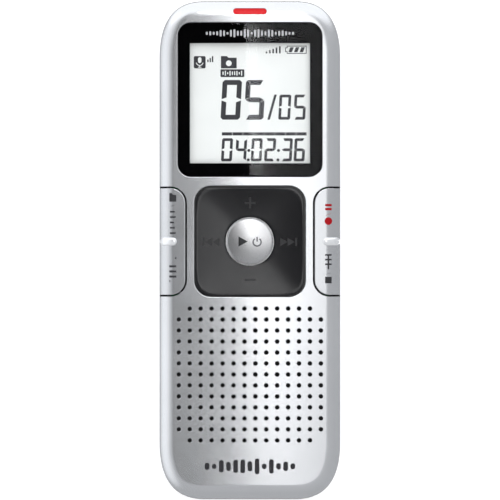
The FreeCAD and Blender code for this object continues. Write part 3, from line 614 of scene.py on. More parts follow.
def arc_band(x, y, radius, stroke, start, end, count=20):
    """Short quadrilaterals along an arc, from one angle to another in degrees."""
    shapes = []
    for i in range(count):
        corners = []
        for angle, r in ((i, -1), (i + 1, -1), (i + 1, 1), (i, 1)):
            a = math.radians(start + (end - start) * angle / count)
            reach = radius + r * stroke / 2
            corners.append((x + reach * math.cos(a), y + reach * math.sin(a)))
        shapes.append(corners if end < start else corners[::-1])
    return shapes


def soft_box(x0, x1, y0, y1, corner):
    """Rounded rectangle between two X values and two Y values."""
    loop = rounded_loop(x1 - x0, y1 - y0, corner, ((x0 + x1) / 2, (y0 + y1) / 2), 4, 1)
    return [tuple(p) for p in loop]


def signed_area(shape):
    """Twice a polygon's area, above zero when its points run anticlockwise."""
    return sum(x0 * y1 - x1 * y0 for (x0, y0), (x1, y1) in zip(shape, shape[1:] + shape[:1]))


def printed(name, shapes, height, body, ink, thick=THIN_INK, subdivide=0):
    """Thin solid marks from polygons in millimetres, laid on a height function or a level."""
    work = bmesh.new()
    for shape in shapes:
        ordered = shape if signed_area(shape) > 0 else shape[::-1]
        work.faces.new([work.verts.new((px * MM, py * MM, 0)) for px, py in ordered])
    if subdivide:
        bmesh.ops.triangulate(work, faces=work.faces[:])
        bmesh.ops.subdivide_edges(work, edges=work.edges[:], cuts=subdivide, use_grid_fill=True)
        bmesh.ops.triangulate(work, faces=work.faces[:])
    plan = np.array([(v.co.x, v.co.y) for v in work.verts])
    level = height(plan) if callable(height) else np.full(len(plan), height)
    for v, z in zip(work.verts, level):
        v.co.z = z
    top = work.faces[:]
    grown = bmesh.ops.extrude_face_region(work, geom=top)
    lowered = [g for g in grown["geom"] if isinstance(g, bmesh.types.BMVert)]
    bmesh.ops.translate(work, verts=lowered, vec=(0, 0, thick * MM))
    bmesh.ops.recalc_face_normals(work, faces=work.faces[:])
    mesh = bpy.data.meshes.new(name)
    work.to_mesh(mesh)
    work.free()
    piece = linked(name, mesh)
    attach(piece, body)
    piece["ink"] = ink


def level_wave(width, height, count, gap=0.45):
    """Generic row of upright sound-level bars of varied height about a middle line."""
    shapes = []
    pitch = width / count
    for i in range(count):
        t = (i + 0.5) / count
        swell = abs(math.sin(math.pi * t)) ** 0.7
        tall = height * (0.25 + 0.75 * swell * abs(math.sin(7.3 * t * math.pi + 0.6)))
        x = -width / 2 + pitch * (i + 0.5)
        shapes.append(soft_box(x - pitch * (1 - gap) / 2, x + pitch * (1 - gap) / 2, -tall / 2, tall / 2,
                               min(pitch * (1 - gap), tall) * 0.45))
    return shapes


# ---------------- display


LENS_THICKNESS = 1.0 * MM
LENS_SINK = 0.05 * MM
MASK_DROP = LENS_SINK + LENS_THICKNESS + 0.01 * MM
MASK_INSET = 0.03 * MM
MASK_THICKNESS = 0.05 * MM
VISIBLE_SIDE = 25.86 * MM

# lower edges and lean of the digits, in millimetres
COUNTER_Y = 28.14
TIME_Y = 19.16
DIGIT_LEAN = 0.055


def display_lens():
    """Clear lens with a polished break on its edge; it follows the crown."""
    loop_at = inset_square(LENS_SIZE, LENS_CORNER, LENS_CENTRE)
    face = over(crown_over, -LENS_SINK)
    back = over(crown_over, -LENS_SINK - LENS_THICKNESS)
    polish = 0.16 * MM
    inner = loop_at(0.3 * MM)
    loops = closed_over(inner, LENS_CENTRE, back, (0.02, 0.3, 0.6, 0.9))
    loops.append(lifted(loop_at(0.0), back))
    loops += soft_edge(loop_at, face, polish, (0, 20, 45, 70, 90))
    loops += closed_over(inner, LENS_CENTRE, face, np.linspace(0.995, 0.02, 16))
    lens = loft("clear_lens", loops)
    soften(lens)
    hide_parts("display_lens")
    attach(lens, "root")
    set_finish(lens, "lens_clear")


def lens_mask():
    """Black border printed on the back of the lens, with a square window."""
    outer = inset_square(LENS_SIZE, LENS_CORNER + MASK_INSET, LENS_CENTRE)(MASK_INSET)
    half = VISIBLE_SIDE / 2
    away = outer - np.array(LENS_CENTRE)
    away[:, 1] += LENS_CENTRE[1] - GLASS_CENTRE[1]
    inner = away / np.abs(away).max(axis=1)[:, None] * half + np.array(GLASS_CENTRE)
    for sx in (1, -1):
        for sy in (1, -1):
            corner = np.array(GLASS_CENTRE) + half * np.array((sx, sy))
            inner[((inner - corner) ** 2).sum(axis=1).argmin()] = corner
    between = outer * 0.5 + inner * 0.5
    top = over(crown_over, -MASK_DROP)
    bottom = over(crown_over, -MASK_DROP - MASK_THICKNESS)
    loops = [lifted(loop, top) for loop in (outer, between, inner)]
    loops += [lifted(loop, bottom) for loop in (inner, between, outer)]
    mask = loft("lens_printed_border", loops, ring=True)
    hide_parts("lens_tape")
    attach(mask, "root")
    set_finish(mask, "black_tape")


def number(values, size, y):
    """Leaning digits of one size, each with its own X."""
    shapes = []
    for value, x in values:
        shapes += placed(bar_digit(value, *size), x, y, DIGIT_LEAN)
    return shapes


def display_counters():
    """The file number, the number of files and the running time, with a split bar between them."""
    shapes = number(((0, -6.35), (5, -1.3)), (4.2, 8.55, 1.06), COUNTER_Y)
    shapes += number(((0, 6.1), (5, 9.35)), (2.55, 5.4, 0.6), COUNTER_Y)
    shapes.append([(3.75, COUNTER_Y), (4.3, COUNTER_Y), (5.8, COUNTER_Y + 5.41), (5.25, COUNTER_Y + 5.41)])
    time = ((0, -6.25), (4, -3.2), (0, 0.15), (2, 3.05), (3, 6.65), (6, 9.4))
    shapes += number(time, (2.35, 4.98, 0.6), TIME_Y)
    for x in (-0.36, 6.05):
        shapes += [disc(x, TIME_Y + 0.31, 0.32), disc(x + 0.12, TIME_Y + 2.34, 0.32)]
    for i in range(8):
        x = -6.05 + 2.292 * i
        shapes.append(bar(x, x + 2.22, 24.74, 25.42))
    return shapes


def recorder_icon():
    """Dark square with a pale microphone in it, and three steps beside it."""
    dark = [soft_box(-12.1, -9.55, 39.2, 41.85, 0.3),
            bar(-9.2, -8.9, 40.55, 41.1), bar(-8.7, -8.4, 40.55, 41.45), bar(-8.2, -7.9, 40.55, 41.85)]
    light = [soft_box(-11.2, -10.45, 40.35, 41.6, 0.37), bar(-10.9, -10.76, 39.5, 39.85),
             bar(-11.2, -10.46, 39.38, 39.52)]
    return dark, light + arc_band(-10.83, 40.55, 0.72, 0.16, 190, 350)


def folder_icon():
    """Dark folder with a pale disc on it, above a dark label with a pale level pattern."""
    dark = [[(-6.25, 39.2), (-2.85, 39.2), (-2.85, 41.5), (-4.6, 41.5), (-5.0, 41.85), (-6.25, 41.85)],
            soft_box(-6.35, -1.2, 37.32, 39.0, 0.2)]
    light = [disc(-4.55, 40.3, 0.62)]
    for i in range(9):
        tall = 0.18 + 0.34 * abs(math.sin(1.3 * i + 0.5))
        light.append(bar(-5.9 + 0.5 * i, -5.68 + 0.5 * i, 38.16 - tall, 38.16 + tall))
    return dark, light


def cell_icon():
    """Five rising steps, and a cell's outline with three slanted fillings."""
    dark = [bar(3.4 + 0.72 * i, 3.75 + 0.72 * i, 42.45, 42.85 + 0.28 * i) for i in range(5)]
    dark += [bar(7.95, 12.2, 43.92, 44.08), bar(7.95, 12.2, 42.35, 42.51), bar(12.06, 12.22, 42.35, 44.08),
             bar(7.95, 8.11, 43.55, 44.08), bar(7.95, 8.11, 42.35, 42.88), bar(7.6, 7.76, 42.75, 43.68),
             bar(7.6, 8.1, 43.55, 43.7), bar(7.6, 8.1, 42.73, 42.88)]
    for x in (8.3, 9.5, 10.7):
        dark.append([(x, 42.68), (x + 0.75, 42.68), (x + 1.15, 43.75), (x + 0.4, 43.75)])
    return dark


def display_marks():
    """Everything the display shows: two counters, the time and plain icons."""
    recorder_dark, recorder_light = recorder_icon()
    folder_dark, folder_light = folder_icon()
    dark = display_counters() + recorder_dark + folder_dark + cell_icon()
    top = GLASS_TOP_Z + 0.005 * MM
    printed("display_digits", dark, top, "root", "display_dark", thick=0.012)
    printed("display_icon_lights", recorder_light + folder_light, top + 0.013 * MM, "root", "display_panel")


# ---------------- navigation pad and play button


PAD_BOTTOM_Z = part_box("navigation_pad")[0].z
PAD_RIM_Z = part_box("navigation_pad")[1].z
PAD_DISH = 0.42 * MM
PAD_FLANGE_SIDE = extent("navigation_pad").x
PAD_FLANGE_CORNER = 4.8 * MM
PAD_FLANGE_THICKNESS = 0.4 * MM
PAD_HOLE_RADIUS = 5.2 * MM
PAD_HOLE_LIP = 0.15 * MM
PAD_ROOM = (6.4 * MM, 16.3 * MM)                    # radius and ceiling of the room for the button
PAD_SOFT_EDGE = 0.16 * MM
DISH_SQUARENESS = 5.0


def pad_height(plan):
    """Height of the dished pad, a little squarer than a round dish so that it falls in four soft sectors."""
    away = np.abs(np.asarray(plan)[:, :2] - np.array(PAD_CENTRE)) / (PAD_SIDE / 2)
    reach = (away ** DISH_SQUARENESS).sum(axis=1) ** (1 / DISH_SQUARENESS)
    return PAD_RIM_Z - PAD_DISH * (1 - np.clip(reach, 0, 1) ** 2)


def navigation_pad():
    """Pad with a soft outer edge, a dished top, a round hole and a flange underneath."""
    square = inset_square((PAD_SIDE, PAD_SIDE), PAD_CORNER, PAD_CENTRE)
    outer = square(0.0)
    ray = outer - np.array(PAD_CENTRE)
    ray /= np.linalg.norm(ray, axis=1)[:, None]

    def circle(radius):
        return np.array(PAD_CENTRE) + ray * radius
    flange = rounded_loop(PAD_FLANGE_SIDE, PAD_FLANGE_SIDE, PAD_FLANGE_CORNER, PAD_CENTRE, 16, 20)
    step = PAD_BOTTOM_Z + PAD_FLANGE_THICKNESS
    loops = [lifted(circle(PAD_ROOM[0]), PAD_BOTTOM_Z), lifted(flange, PAD_BOTTOM_Z), lifted(flange, step),
             lifted(outer, step), lifted(outer, PAD_RIM_Z - PAD_SOFT_EDGE)]
    loops += soft_edge(square, pad_height, PAD_SOFT_EDGE)
    rim = square(PAD_SOFT_EDGE)
    lip = PAD_HOLE_LIP
    mouth = circle(PAD_HOLE_RADIUS + lip)
    for t in np.linspace(0.06, 1, 22):
        loops.append(lifted(rim * (1 - t) + mouth * t, pad_height))
    loops += [lifted(circle(PAD_HOLE_RADIUS + lip * 0.3), over(pad_height, -lip * 0.3)),
              lifted(circle(PAD_HOLE_RADIUS), over(pad_height, -lip)),
              lifted(circle(PAD_HOLE_RADIUS), PAD_ROOM[1]),
              lifted(circle(PAD_ROOM[0]), PAD_ROOM[1])]
    pad = loft("dished_pad", loops, ring=True)
    soften(pad, 40)
    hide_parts("navigation_pad")
    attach(pad, "navigation_pad_body")
    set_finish(pad, "pad_graphite")


PLAY_RADIUS = 5.0 * MM
PLAY_FLANGE = (5.9 * MM, 15.45 * MM, 15.9 * MM)     # radius, bottom and top
PLAY_PLUNGER = (1.2 * MM, 15.35 * MM)               # radius and bottom
PLAY_EDGE_Z = 17.25 * MM
PLAY_TOP_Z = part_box("play_button")[1].z
PLAY_SOFT_EDGE = 0.28 * MM


def play_height(plan):
    """Height of the button's dome."""
    away = np.linalg.norm(np.asarray(plan)[:, :2] - np.array(PAD_CENTRE), axis=1)
    return PLAY_TOP_Z - (PLAY_TOP_Z - PLAY_EDGE_Z) * (away / PLAY_RADIUS) ** 2


def play_button():
    """Domed round button with a soft edge, a flange and a plunger."""
    flange_radius, flange_bottom, flange_top = PLAY_FLANGE
    plunger_radius, plunger_bottom = PLAY_PLUNGER

    def circle(inset):
        return round_loop(PLAY_RADIUS - inset, PAD_CENTRE, 96)
    profile = [(plunger_radius, plunger_bottom), (plunger_radius, flange_bottom),
               (flange_radius, flange_bottom), (flange_radius, flange_top),
               (PLAY_RADIUS, flange_top), (PLAY_RADIUS, PLAY_EDGE_Z - PLAY_SOFT_EDGE)]
    loops = [lifted(round_loop(radius, PAD_CENTRE, 96), z) for radius, z in profile]
    loops += soft_edge(circle, play_height, PLAY_SOFT_EDGE, (12, 25, 40, 55, 70, 82))
    for radius in np.linspace(PLAY_RADIUS - PLAY_SOFT_EDGE, 0.05 * MM, 24):
        loops.append(lifted(round_loop(radius, PAD_CENTRE, 96), play_height))
    button = loft("domed_button", loops)
    soften(button, 40)
    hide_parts("play_button")
    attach(button, "play_button_body")
    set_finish(button, "button_metal")


def arrow(x, y, width, height, way=1):
    """Triangle that points along X."""
    back, tip = x - way * width / 2, x + way * width / 2
    return [(back, y - height / 2), (tip, y), (back, y + height / 2)]


def pad_marks():
    """Plus, minus and the two skip symbols on the pad, play and power symbols on the button."""
    middle_x, plus_y, minus_y, skip_y = 0.06, 10.17, -6.4, 1.78
    arm, half = 1.2, 0.43 / 2
    left, right = middle_x - arm, middle_x + arm
    marks = [bar(left, right, plus_y - half, plus_y + half),
             bar(middle_x - half, middle_x + half, plus_y + half, plus_y + arm),
             bar(middle_x - half, middle_x + half, plus_y - arm, plus_y - half),
             bar(left, right, minus_y - half, minus_y + half)]
    for side in (-1, 1):
        x = side * 8.28
        marks.append(arrow(x - side * 0.95, skip_y, 1.55, 1.8, side))
        marks.append(arrow(x + side * 0.6, skip_y, 1.55, 1.8, side))
        marks.append(bar(x + side * 1.68 - 0.2, x + side * 1.68 + 0.2, skip_y - 0.9, skip_y + 0.9))
    printed("pad_symbols", marks, over(pad_height, INK_GAP), "navigation_pad_body", "pad_mark", subdivide=2)
    on_button = over(play_height, INK_GAP)
    printed("play_symbol", [arrow(-1.46, 1.87, 2.0, 2.2)], on_button, "play_button_body", "button_mark",
            subdivide=3)
    power = arc_band(1.55, 1.75, 0.86, 0.3, 125, 415, 26)
    power.append(bar(1.4, 1.7, 1.85, 2.85))
    printed("power_symbol", power, on_button, "play_button_body", "button_mark_soft")


# ---------------- side keys


KEY_SKIN_Z = 15.9 * MM
KEY_SIDE_X = 17.6 * MM
KEY_SOFT_EDGE = 0.16 * MM
KEY_FLANGE_X = (13.1 * MM, 14.9 * MM)
KEY_FLANGE_HALF_LENGTH = 10.8 * MM
KEY_PLUNGER_X = 15.4 * MM
KEY_PLUNGER_Y = 8 * MM
KEY_RIB_X = (14.2 * MM, 17.2 * MM)
KEY_RIB_HALF_WIDTH = 0.5 * MM
RIDGE_SIZE = (3.7 * MM, 1.74 * MM)
RIDGE_X = 17.57 * MM
RIDGE_HEIGHT = 0.42 * MM
RIDGE_BOTTOM_Z = 15.0 * MM
RIDGE_SOFT_EDGE = 0.42 * MM
RIDGE_SOFT_REACH = 0.86 * MM
RIDGE_SHARP_ANGLE = 60


def key_edge(inset):
    """Plan loop of the right key, drawn in by an inset."""
    centre = (KEY_INNER_X + KEY_BLOCK_WIDTH / 2, KEY_Y)
    return inset_square((KEY_BLOCK_WIDTH, KEY_LENGTH), KEY_CORNER, centre, 40)(inset)


def pill_loop(size, centre, inset=0.0):
    """Plan loop with fully rounded ends."""
    width, length = size[0] - 2 * inset, size[1] - 2 * inset
    return rounded_loop(width, length, length / 2.002, centre, 12, 10)


def box_loops(x, y, z):
    """Two loops that make a box when lofted."""
    plan = np.array([(x[0], y[0]), (x[1], y[0]), (x[1], y[1]), (x[0], y[1])])
    return [lifted(plan, z[0]), lifted(plan, z[1])]


def touch_ridge():
    """Raised pill with a soft edge whose top follows the case."""
    centre = (RIDGE_X, KEY_Y)
    top = over(face_height, RIDGE_HEIGHT)

    def pill(inset):
        return pill_loop(RIDGE_SIZE, centre, inset)
    loops = [lifted(pill(0.0), RIDGE_BOTTOM_Z), lifted(pill(0.0), over(top, -RIDGE_SOFT_EDGE))]
    loops += soft_edge(pill, top, RIDGE_SOFT_EDGE, reach=RIDGE_SOFT_REACH)
    loops += closed_over(pill(RIDGE_SOFT_REACH), centre, top)
    ridge = loft("right_touch_ridge", loops)
    soften(ridge, RIDGE_SHARP_ANGLE)
    return ridge


def key_feet():
    """Loops of the key's flange, its two plungers and the rib that it rocks on."""
    half = KEY_FLANGE_HALF_LENGTH
    feet = [box_loops(KEY_FLANGE_X, (KEY_Y - half, KEY_Y + half), (15.4 * MM, 15.95 * MM))]
    for side in (-1, 1):
        place = (KEY_PLUNGER_X, KEY_Y + side * KEY_PLUNGER_Y)
        feet.append([lifted(round_loop(1 * MM, place, 24), z) for z in (15.35 * MM, 16 * MM)])
    half = KEY_RIB_HALF_WIDTH
    feet.append(box_loops(KEY_RIB_X, (KEY_Y - half, KEY_Y + half), (14.7 * MM, 16 * MM)))
    return feet


def key_blank():
    """Right key: a piece of the case's own form with a softened edge, hollow below, with its feet."""
    blank = front_form()
    carve(blank, [key_block("key_plan", 0.0, 1)], "INTERSECT")
    edge = KEY_SOFT_EDGE
    steps = ((0.0, -edge), (edge * 0.3, -edge * 0.3), (edge, 0.0), (edge * 1.2, 3 * MM))
    trim = [lifted(key_edge(0.0), CUT_Z[0])]
    trim += [lifted(key_edge(inset), over(face_height, rise)) for inset, rise in steps]
    carve(blank, [loft("trim", trim)], "INTERSECT")
    hollow = box_loops((0.0, KEY_SIDE_X), (-30 * MM, 30 * MM), (0.0, KEY_SKIN_Z))
    carve(blank, [loft("hollow", hollow)])
    carve(blank, [loft("foot", loops) for loops in key_feet()], "UNION")
    return blank


def mirrored(piece, name):
    """Copy of a piece on the other side of the middle plane."""
    twin = linked(name, piece.data.copy())
    flip = bmesh.new()
    flip.from_mesh(twin.data)
    for v in flip.verts:
        v.co.x = -v.co.x
    bmesh.ops.reverse_faces(flip, faces=flip.faces[:])
    flip.to_mesh(twin.data)
    flip.free()
    return twin


def side_keys():
    """The right key and its touch ridge, and their mirror images on the left."""
    right = key_blank()
    right.name = "right_rocker"
    left = mirrored(right, "left_rocker")
    right_ridge = touch_ridge()
    left_ridge = mirrored(right_ridge, "left_touch_ridge")
    soften(left_ridge, RIDGE_SHARP_ANGLE)
    for key, ridge, side in ((left, left_ridge, "left"), (right, right_ridge, "right")):
        true_normals(key)
        key["painted_outside"] = True
        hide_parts(f"{side}_key")
        for piece in (key, ridge):
            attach(piece, f"{side}_key_body")
            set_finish(piece, "key_silver")
        # the ridges take a lighter silver than their keys: a painted highlight
        ridge["ink"] = "ridge_bright"


def key_marks():
    """Plain icons beside the rocker keys; they follow the curve of the face."""
    def lay(name, shapes, body, ink):
        printed(name, shapes, over(face_height, INK_GAP), body, ink, subdivide=3)
    x = -16.6
    folder = [(x - 0.75, 10.45), (x + 0.75, 10.45), (x + 0.75, 11.9), (x, 11.9), (x - 0.2, 12.3),
              (x - 0.75, 12.3)]
    left = [folder, slash(x, 0.55, 0.2, 9.45, 9.75)]
    left += [bar(x - 0.62, x + 0.62 - 0.18 * (i % 3), 3.5 + 1.15 * i, 3.85 + 1.15 * i) for i in range(5)]
    left += [bar(x - 0.75, x + 0.75, -5.9 + 1.1 * i, -5.45 + 1.1 * i) for i in range(3)]
    left += [bar(x - 0.75, x - 0.55, -6.84, -6.5), bar(x + 0.55, x + 0.75, -1.9, -1.5)]
    lay("left_key_symbols", left, "left_key_body", "key_mark")
    x = 16.9
    red = [bar(x - 0.7, x + 0.7, 9.45, 9.95), bar(x - 0.7, x + 0.7, 8.6, 9.1), disc(x, 6.26, 0.82),
           slash(x, 0.6, 0.18, 7.5, 7.9)]
    lay("right_key_red_symbols", red, "right_key_body", "mark_red")
    dark = [bar(x - 0.7, x + 0.7, -1.2 - 1.0 * i, -0.85 - 1.0 * i) for i in range(3)]
    dark += [bar(x - 0.16, x + 0.16, -4.1, -0.85), slash(x, 0.6, 0.18, -5.2, -4.9),
             bar(x - 0.7, x + 0.7, -7.13, -5.73)]
    lay("right_key_symbols", dark, "right_key_body", "key_mark")


# ---------------- record light and face prints


def record_light():
    """Red window that follows the rounded top end."""
    def pill(inset):
        return pill_loop(LIGHT_SIZE, LIGHT_CENTRE, inset)
    edge = 0.1 * MM
    loops = [lifted(pill(0.0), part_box("record_light_pipe")[0].z)]
    loops += [lifted(pill(inset), over(face_height, rise))
              for inset, rise in ((0.0, -edge), (edge * 0.3, -edge * 0.3), (edge, 0.0))]
    loops += closed_over(pill(edge), LIGHT_CENTRE, face_height)
    window = loft("red_window", loops)
    soften(window, 40)
    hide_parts("record_light_pipe")
    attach(window, "root")
    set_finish(window, "light_red")


def face_prints():
    """Sound-level patterns on the lens border and near the bottom of the face."""
    upper = placed(level_wave(19.3, 1.9, 26), 0.0, 46.7)
    printed("lens_level_pattern", upper, over(crown_over, 0.001 * MM - MASK_DROP), "root", "lens_print")
    lower = placed(level_wave(20.0, 3.6, 13, 0.35), 0.0, -46.5)
    printed("face_level_pattern", lower, over(crown_over, 0.002 * MM), "root", "face_print", subdivide=1)


front_shell()
display_lens()
lens_mask()
display_marks()
navigation_pad()
play_button()
pad_marks()
side_keys()
key_marks()
record_light()
face_prints()


# ---------------- materials


def add_node(tree, kind, inputs, **settings):
    """New shader node with its settings; each input gets a value or a link from a socket."""
    node = tree.nodes.new("ShaderNode" + kind)
    for name, value in settings.items():
        setattr(node, name, value)
    for name, value in inputs.items():
        if isinstance(value, bpy.types.NodeSocket):
            tree.links.new(value, node.inputs[name])
        else:
            node.inputs[name].default_value = value
    return node


class Finish:
    """One procedural material, built up from noise in the object's own space."""

    def __init__(self, name):
        self.name = name
        self.material = bpy.data.materials.new(name)
        self.material.use_nodes = True
        self.tree = self.material.node_tree
        self.shader = self.tree.nodes["Principled BSDF"]
        self.place = self.add("TexCoord", {}).outputs["Object"]

    def add(self, kind, inputs, **settings):
        """New node in this material."""
        return add_node(self.tree, kind, inputs, **settings)

    def link(self, socket, name):
        """Link from a socket to an input of the main shader."""
        self.tree.links.new(socket, self.shader.inputs[name])

    def noise(self, size, detail=3.0, stretch=(1, 1, 1)):
        """Noise with features of a size in millimetres."""
        mapping = self.add("Mapping", {"Vector": self.place, "Scale": stretch})
        inputs = {"Vector": mapping.outputs["Vector"], "Scale": 1 / (size * MM), "Detail": detail}
        return self.add("TexNoise", inputs).outputs["Fac"]

    def wave(self, pitch, direction="X", rings=False):
        """Sine ridges with a pitch in millimetres, straight or in rings about an axis."""
        inputs = {"Vector": self.place, "Scale": math.pi / 10 / (pitch * MM), "Distortion": 0.0}
        if rings:
            return self.add("TexWave", inputs, wave_type="RINGS", rings_direction=direction).outputs["Fac"]
        return self.add("TexWave", inputs, wave_type="BANDS", bands_direction=direction).outputs["Fac"]

    def ranged(self, value, low, high, start=0.3, end=0.7):
        """Value spread over a range."""
        inputs = {"Value": value, "From Min": start, "From Max": end, "To Min": low, "To Max": high}
        return self.add("MapRange", inputs).outputs["Result"]

    def blend(self, value, first, second):
        """Colour between two colours or colour sockets."""
        first, second = (c if isinstance(c, bpy.types.NodeSocket) else (*c, 1) for c in (first, second))
        inputs = {"Factor": value, "A": first, "B": second}
        return self.add("Mix", inputs, data_type="RGBA").outputs["Result"]

    def sum(self, first, second, weight=1.0):
        """First value plus a weight of the second."""
        return self.add("Math", {0: second, 1: weight, 2: first}, operation="MULTIPLY_ADD").outputs[0]

    def axis(self, name):
        """One coordinate of the place, in metres."""
        return self.add("SeparateXYZ", {0: self.place}).outputs[name]

    def colour(self, socket):
        """Base colour from a colour socket."""
        self.link(socket, "Base Color")

    def roughness(self, socket):
        """Roughness from a value socket."""
        self.link(socket, "Roughness")

    def glow(self, socket, strength):
        """Faint light of the surface's own, from a colour socket."""
        self.link(socket, "Emission Color")
        self.fixed("Emission Strength", strength)

    def fixed(self, name, value):
        """One even value over the whole surface."""
        self.shader.inputs[name].default_value = value

    def bump(self, height, depth):
        """Surface relief of a depth in millimetres."""
        self.link(self.add("Bump", {"Height": height, "Distance": depth * MM}).outputs["Normal"], "Normal")


def shade(colour, factor):
    """Colour made darker or lighter."""
    return tuple(min(1.0, c * factor) for c in colour)


def plain_finish(name, colour, rough, metallic, grain, depth, mottle, patch=7.0, rough_change=0.06,
                 specular=0.5):
    """Grained, slightly uneven finish: colour mottling, handled patches and a fine relief."""
    finish = Finish(name)
    patches = finish.noise(patch, 4.0)
    grains = finish.noise(grain, 2.0)
    mixed = finish.sum(patches, grains, 0.35)
    tone = finish.ranged(mixed, 0.0, 1.0, 0.45, 0.9)
    finish.colour(finish.blend(tone, shade(colour, 1 - mottle), shade(colour, 1 + mottle)))
    finish.roughness(finish.ranged(mixed, rough - rough_change, rough + rough_change, 0.45, 0.9))
    finish.bump(grains, depth)
    finish.fixed("Metallic", metallic)
    finish.fixed("Specular IOR Level", specular)
    return finish


# name, colour, roughness, metallic, grain size and relief depth in millimetres, mottling, other settings
PLAIN = (
    ("silver_paint", (0.77, 0.78, 0.8), 0.25, 0.85, 0.09, 0.0006, 0.03,
     dict(patch=14.0, rough_change=0.02)),
    ("key_silver", (0.7, 0.71, 0.73), 0.25, 0.85, 0.09, 0.0012, 0.03, dict(patch=12.0, rough_change=0.02)),
    ("rear_plastic", (0.2, 0.205, 0.215), 0.46, 0.0, 0.22, 0.01, 0.09, {}),
    # touch ridges: a lighter silver than the keys they belong to, a painted highlight
    ("ridge_bright", (0.88, 0.89, 0.91), 0.16, 0.55, 0.1, 0.0004, 0.03, {}),
    ("inner_plastic", (0.012, 0.012, 0.013), 0.55, 0.0, 0.3, 0.004, 0.2, dict(specular=0.2)),
    ("screw_steel", (0.3, 0.3, 0.31), 0.36, 1.0, 0.12, 0.004, 0.15, {}),
    ("label_film", (0.5, 0.51, 0.52), 0.4, 0.0, 0.5, 0.002, 0.05, {}),
    ("black_tape", (0.001, 0.001, 0.0012), 0.4, 0.0, 0.4, 0.001, 0.3, dict(specular=0.0)),
    ("black_plastic", (0.018, 0.018, 0.02), 0.5, 0.0, 0.2, 0.006, 0.2, {}),
    ("white_film", (0.85, 0.86, 0.86), 0.45, 0.0, 0.3, 0.002, 0.03, {}),
    ("silicone_grey", (0.36, 0.38, 0.4), 0.6, 0.0, 0.3, 0.005, 0.07, dict(specular=0.3)),
    ("ceramic_white", (0.78, 0.78, 0.74), 0.4, 0.0, 0.15, 0.002, 0.05, {}),
    ("pad_graphite", (0.008, 0.008, 0.009), 0.18, 0.0, 0.11, 0.0015, 0.08,
     dict(patch=9.0, rough_change=0.03, specular=0.35)),
    ("spring_steel", (0.62, 0.61, 0.58), 0.26, 1.0, 0.2, 0.002, 0.08, {}),
    ("socket_steel", (0.66, 0.66, 0.66), 0.28, 1.0, 0.25, 0.003, 0.08, {}),
    ("chip_epoxy", (0.02, 0.02, 0.022), 0.58, 0.0, 0.12, 0.006, 0.2, {}),
    ("ferrite", (0.07, 0.068, 0.07), 0.55, 0.0, 0.18, 0.008, 0.18, {}),
    ("capacitor_can", (0.55, 0.56, 0.58), 0.3, 1.0, 0.2, 0.003, 0.06, {}),
    ("ceramic_tan", (0.42, 0.3, 0.19), 0.45, 0.0, 0.12, 0.003, 0.1, {}),
    ("foam_black", (0.02, 0.02, 0.02), 0.9, 0.0, 0.3, 0.05, 0.35, dict(specular=0.2)),
    ("boot_rubber", (0.03, 0.03, 0.032), 0.72, 0.0, 0.25, 0.008, 0.2, {}),
    ("display_dark", (0.045, 0.045, 0.05), 0.5, 0.0, 0.2, 0.0005, 0.12, dict(specular=0.1)),
    ("button_mark", (0.012, 0.012, 0.014), 0.42, 0.0, 0.12, 0.0005, 0.2, {}),
    ("button_mark_soft", (0.09, 0.09, 0.1), 0.42, 0.0, 0.12, 0.0005, 0.15, {}),
    ("pad_mark", (0.012, 0.012, 0.013), 0.45, 0.0, 0.12, 0.0005, 0.2, {}),
    ("key_mark", (0.03, 0.03, 0.033), 0.5, 0.0, 0.12, 0.0005, 0.2, dict(specular=0.2)),
    ("face_print", (0.022, 0.022, 0.025), 0.6, 0.0, 0.12, 0.0005, 0.15, dict(specular=0.2)),
    ("mark_red", (0.3, 0.0, 0.004), 0.5, 0.0, 0.12, 0.0005, 0.1, dict(specular=0.2)),
    ("lens_print", (0.45, 0.46, 0.48), 0.5, 0.0, 0.12, 0.0005, 0.08, {}),
)


def spun_metal():
    """Satin metal turned in fine rings about the button's middle."""
    finish = Finish("button_metal")
    about = {"Vector": finish.place, "Location": (0, -PAD_CENTRE[1], 0)}
    finish.place = finish.add("Mapping", about).outputs["Vector"]
    rings = finish.wave(0.16, "Z", rings=True)
    grains = finish.noise(0.1, 2.0)
    mixed = finish.sum(rings, grains, 0.6)
    finish.colour(finish.blend(finish.ranged(mixed, 0, 1, 0.2, 1.3), (0.6, 0.6, 0.61), (0.74, 0.74, 0.75)))
    finish.roughness(finish.ranged(grains, 0.26, 0.34))
    finish.bump(mixed, 0.0016)
    finish.fixed("Metallic", 1.0)
    return finish


LENS_GLOSS = 0.19


def clear_lens():
    """Thin clear lens: it lets everything through and only adds a gloss, a little smeared by handling."""
    finish = Finish("lens_clear")
    smears = finish.noise(6.0, 3.0, (1, 2.5, 1))
    gloss = finish.add("BsdfGlossy", {"Roughness": finish.ranged(smears, 0.015, 0.07),
                                      "Color": finish.blend(smears, (0.97, 0.97, 1.0), (1.0, 1.0, 1.0))})
    through = finish.add("BsdfTransparent", {})
    edge = finish.add("Fresnel", {"IOR": 1.49})
    coated = finish.add("Math", {0: edge.outputs[0], 1: LENS_GLOSS}, operation="MULTIPLY")
    mix = finish.add("MixShader", {0: coated.outputs[0], 1: through.outputs[0], 2: gloss.outputs[0]})
    finish.tree.links.new(mix.outputs[0], finish.tree.nodes["Material Output"].inputs["Surface"])
    finish.tree.nodes.remove(finish.shader)
    return finish


def display_panel():
    """Pale panel with a faint even cell pattern, a soft random unevenness and a faint painted glow."""
    finish = Finish("display_panel")
    cells = finish.sum(finish.wave(0.3, "X"), finish.wave(0.3, "Y"))
    cloud = finish.noise(12.0, 2.0)
    mixed = finish.sum(cloud, cells, 0.08)
    tone = finish.blend(finish.ranged(mixed, 0, 1, 0.3, 0.9), (0.68, 0.7, 0.69), (0.75, 0.77, 0.76))
    finish.colour(tone)
    finish.roughness(finish.ranged(cloud, 0.4, 0.5))
    # painted glow that makes the panel and the pale icon marks look brighter
    finish.glow(tone, 0.1)
    finish.fixed("Specular IOR Level", 0.1)
    return finish


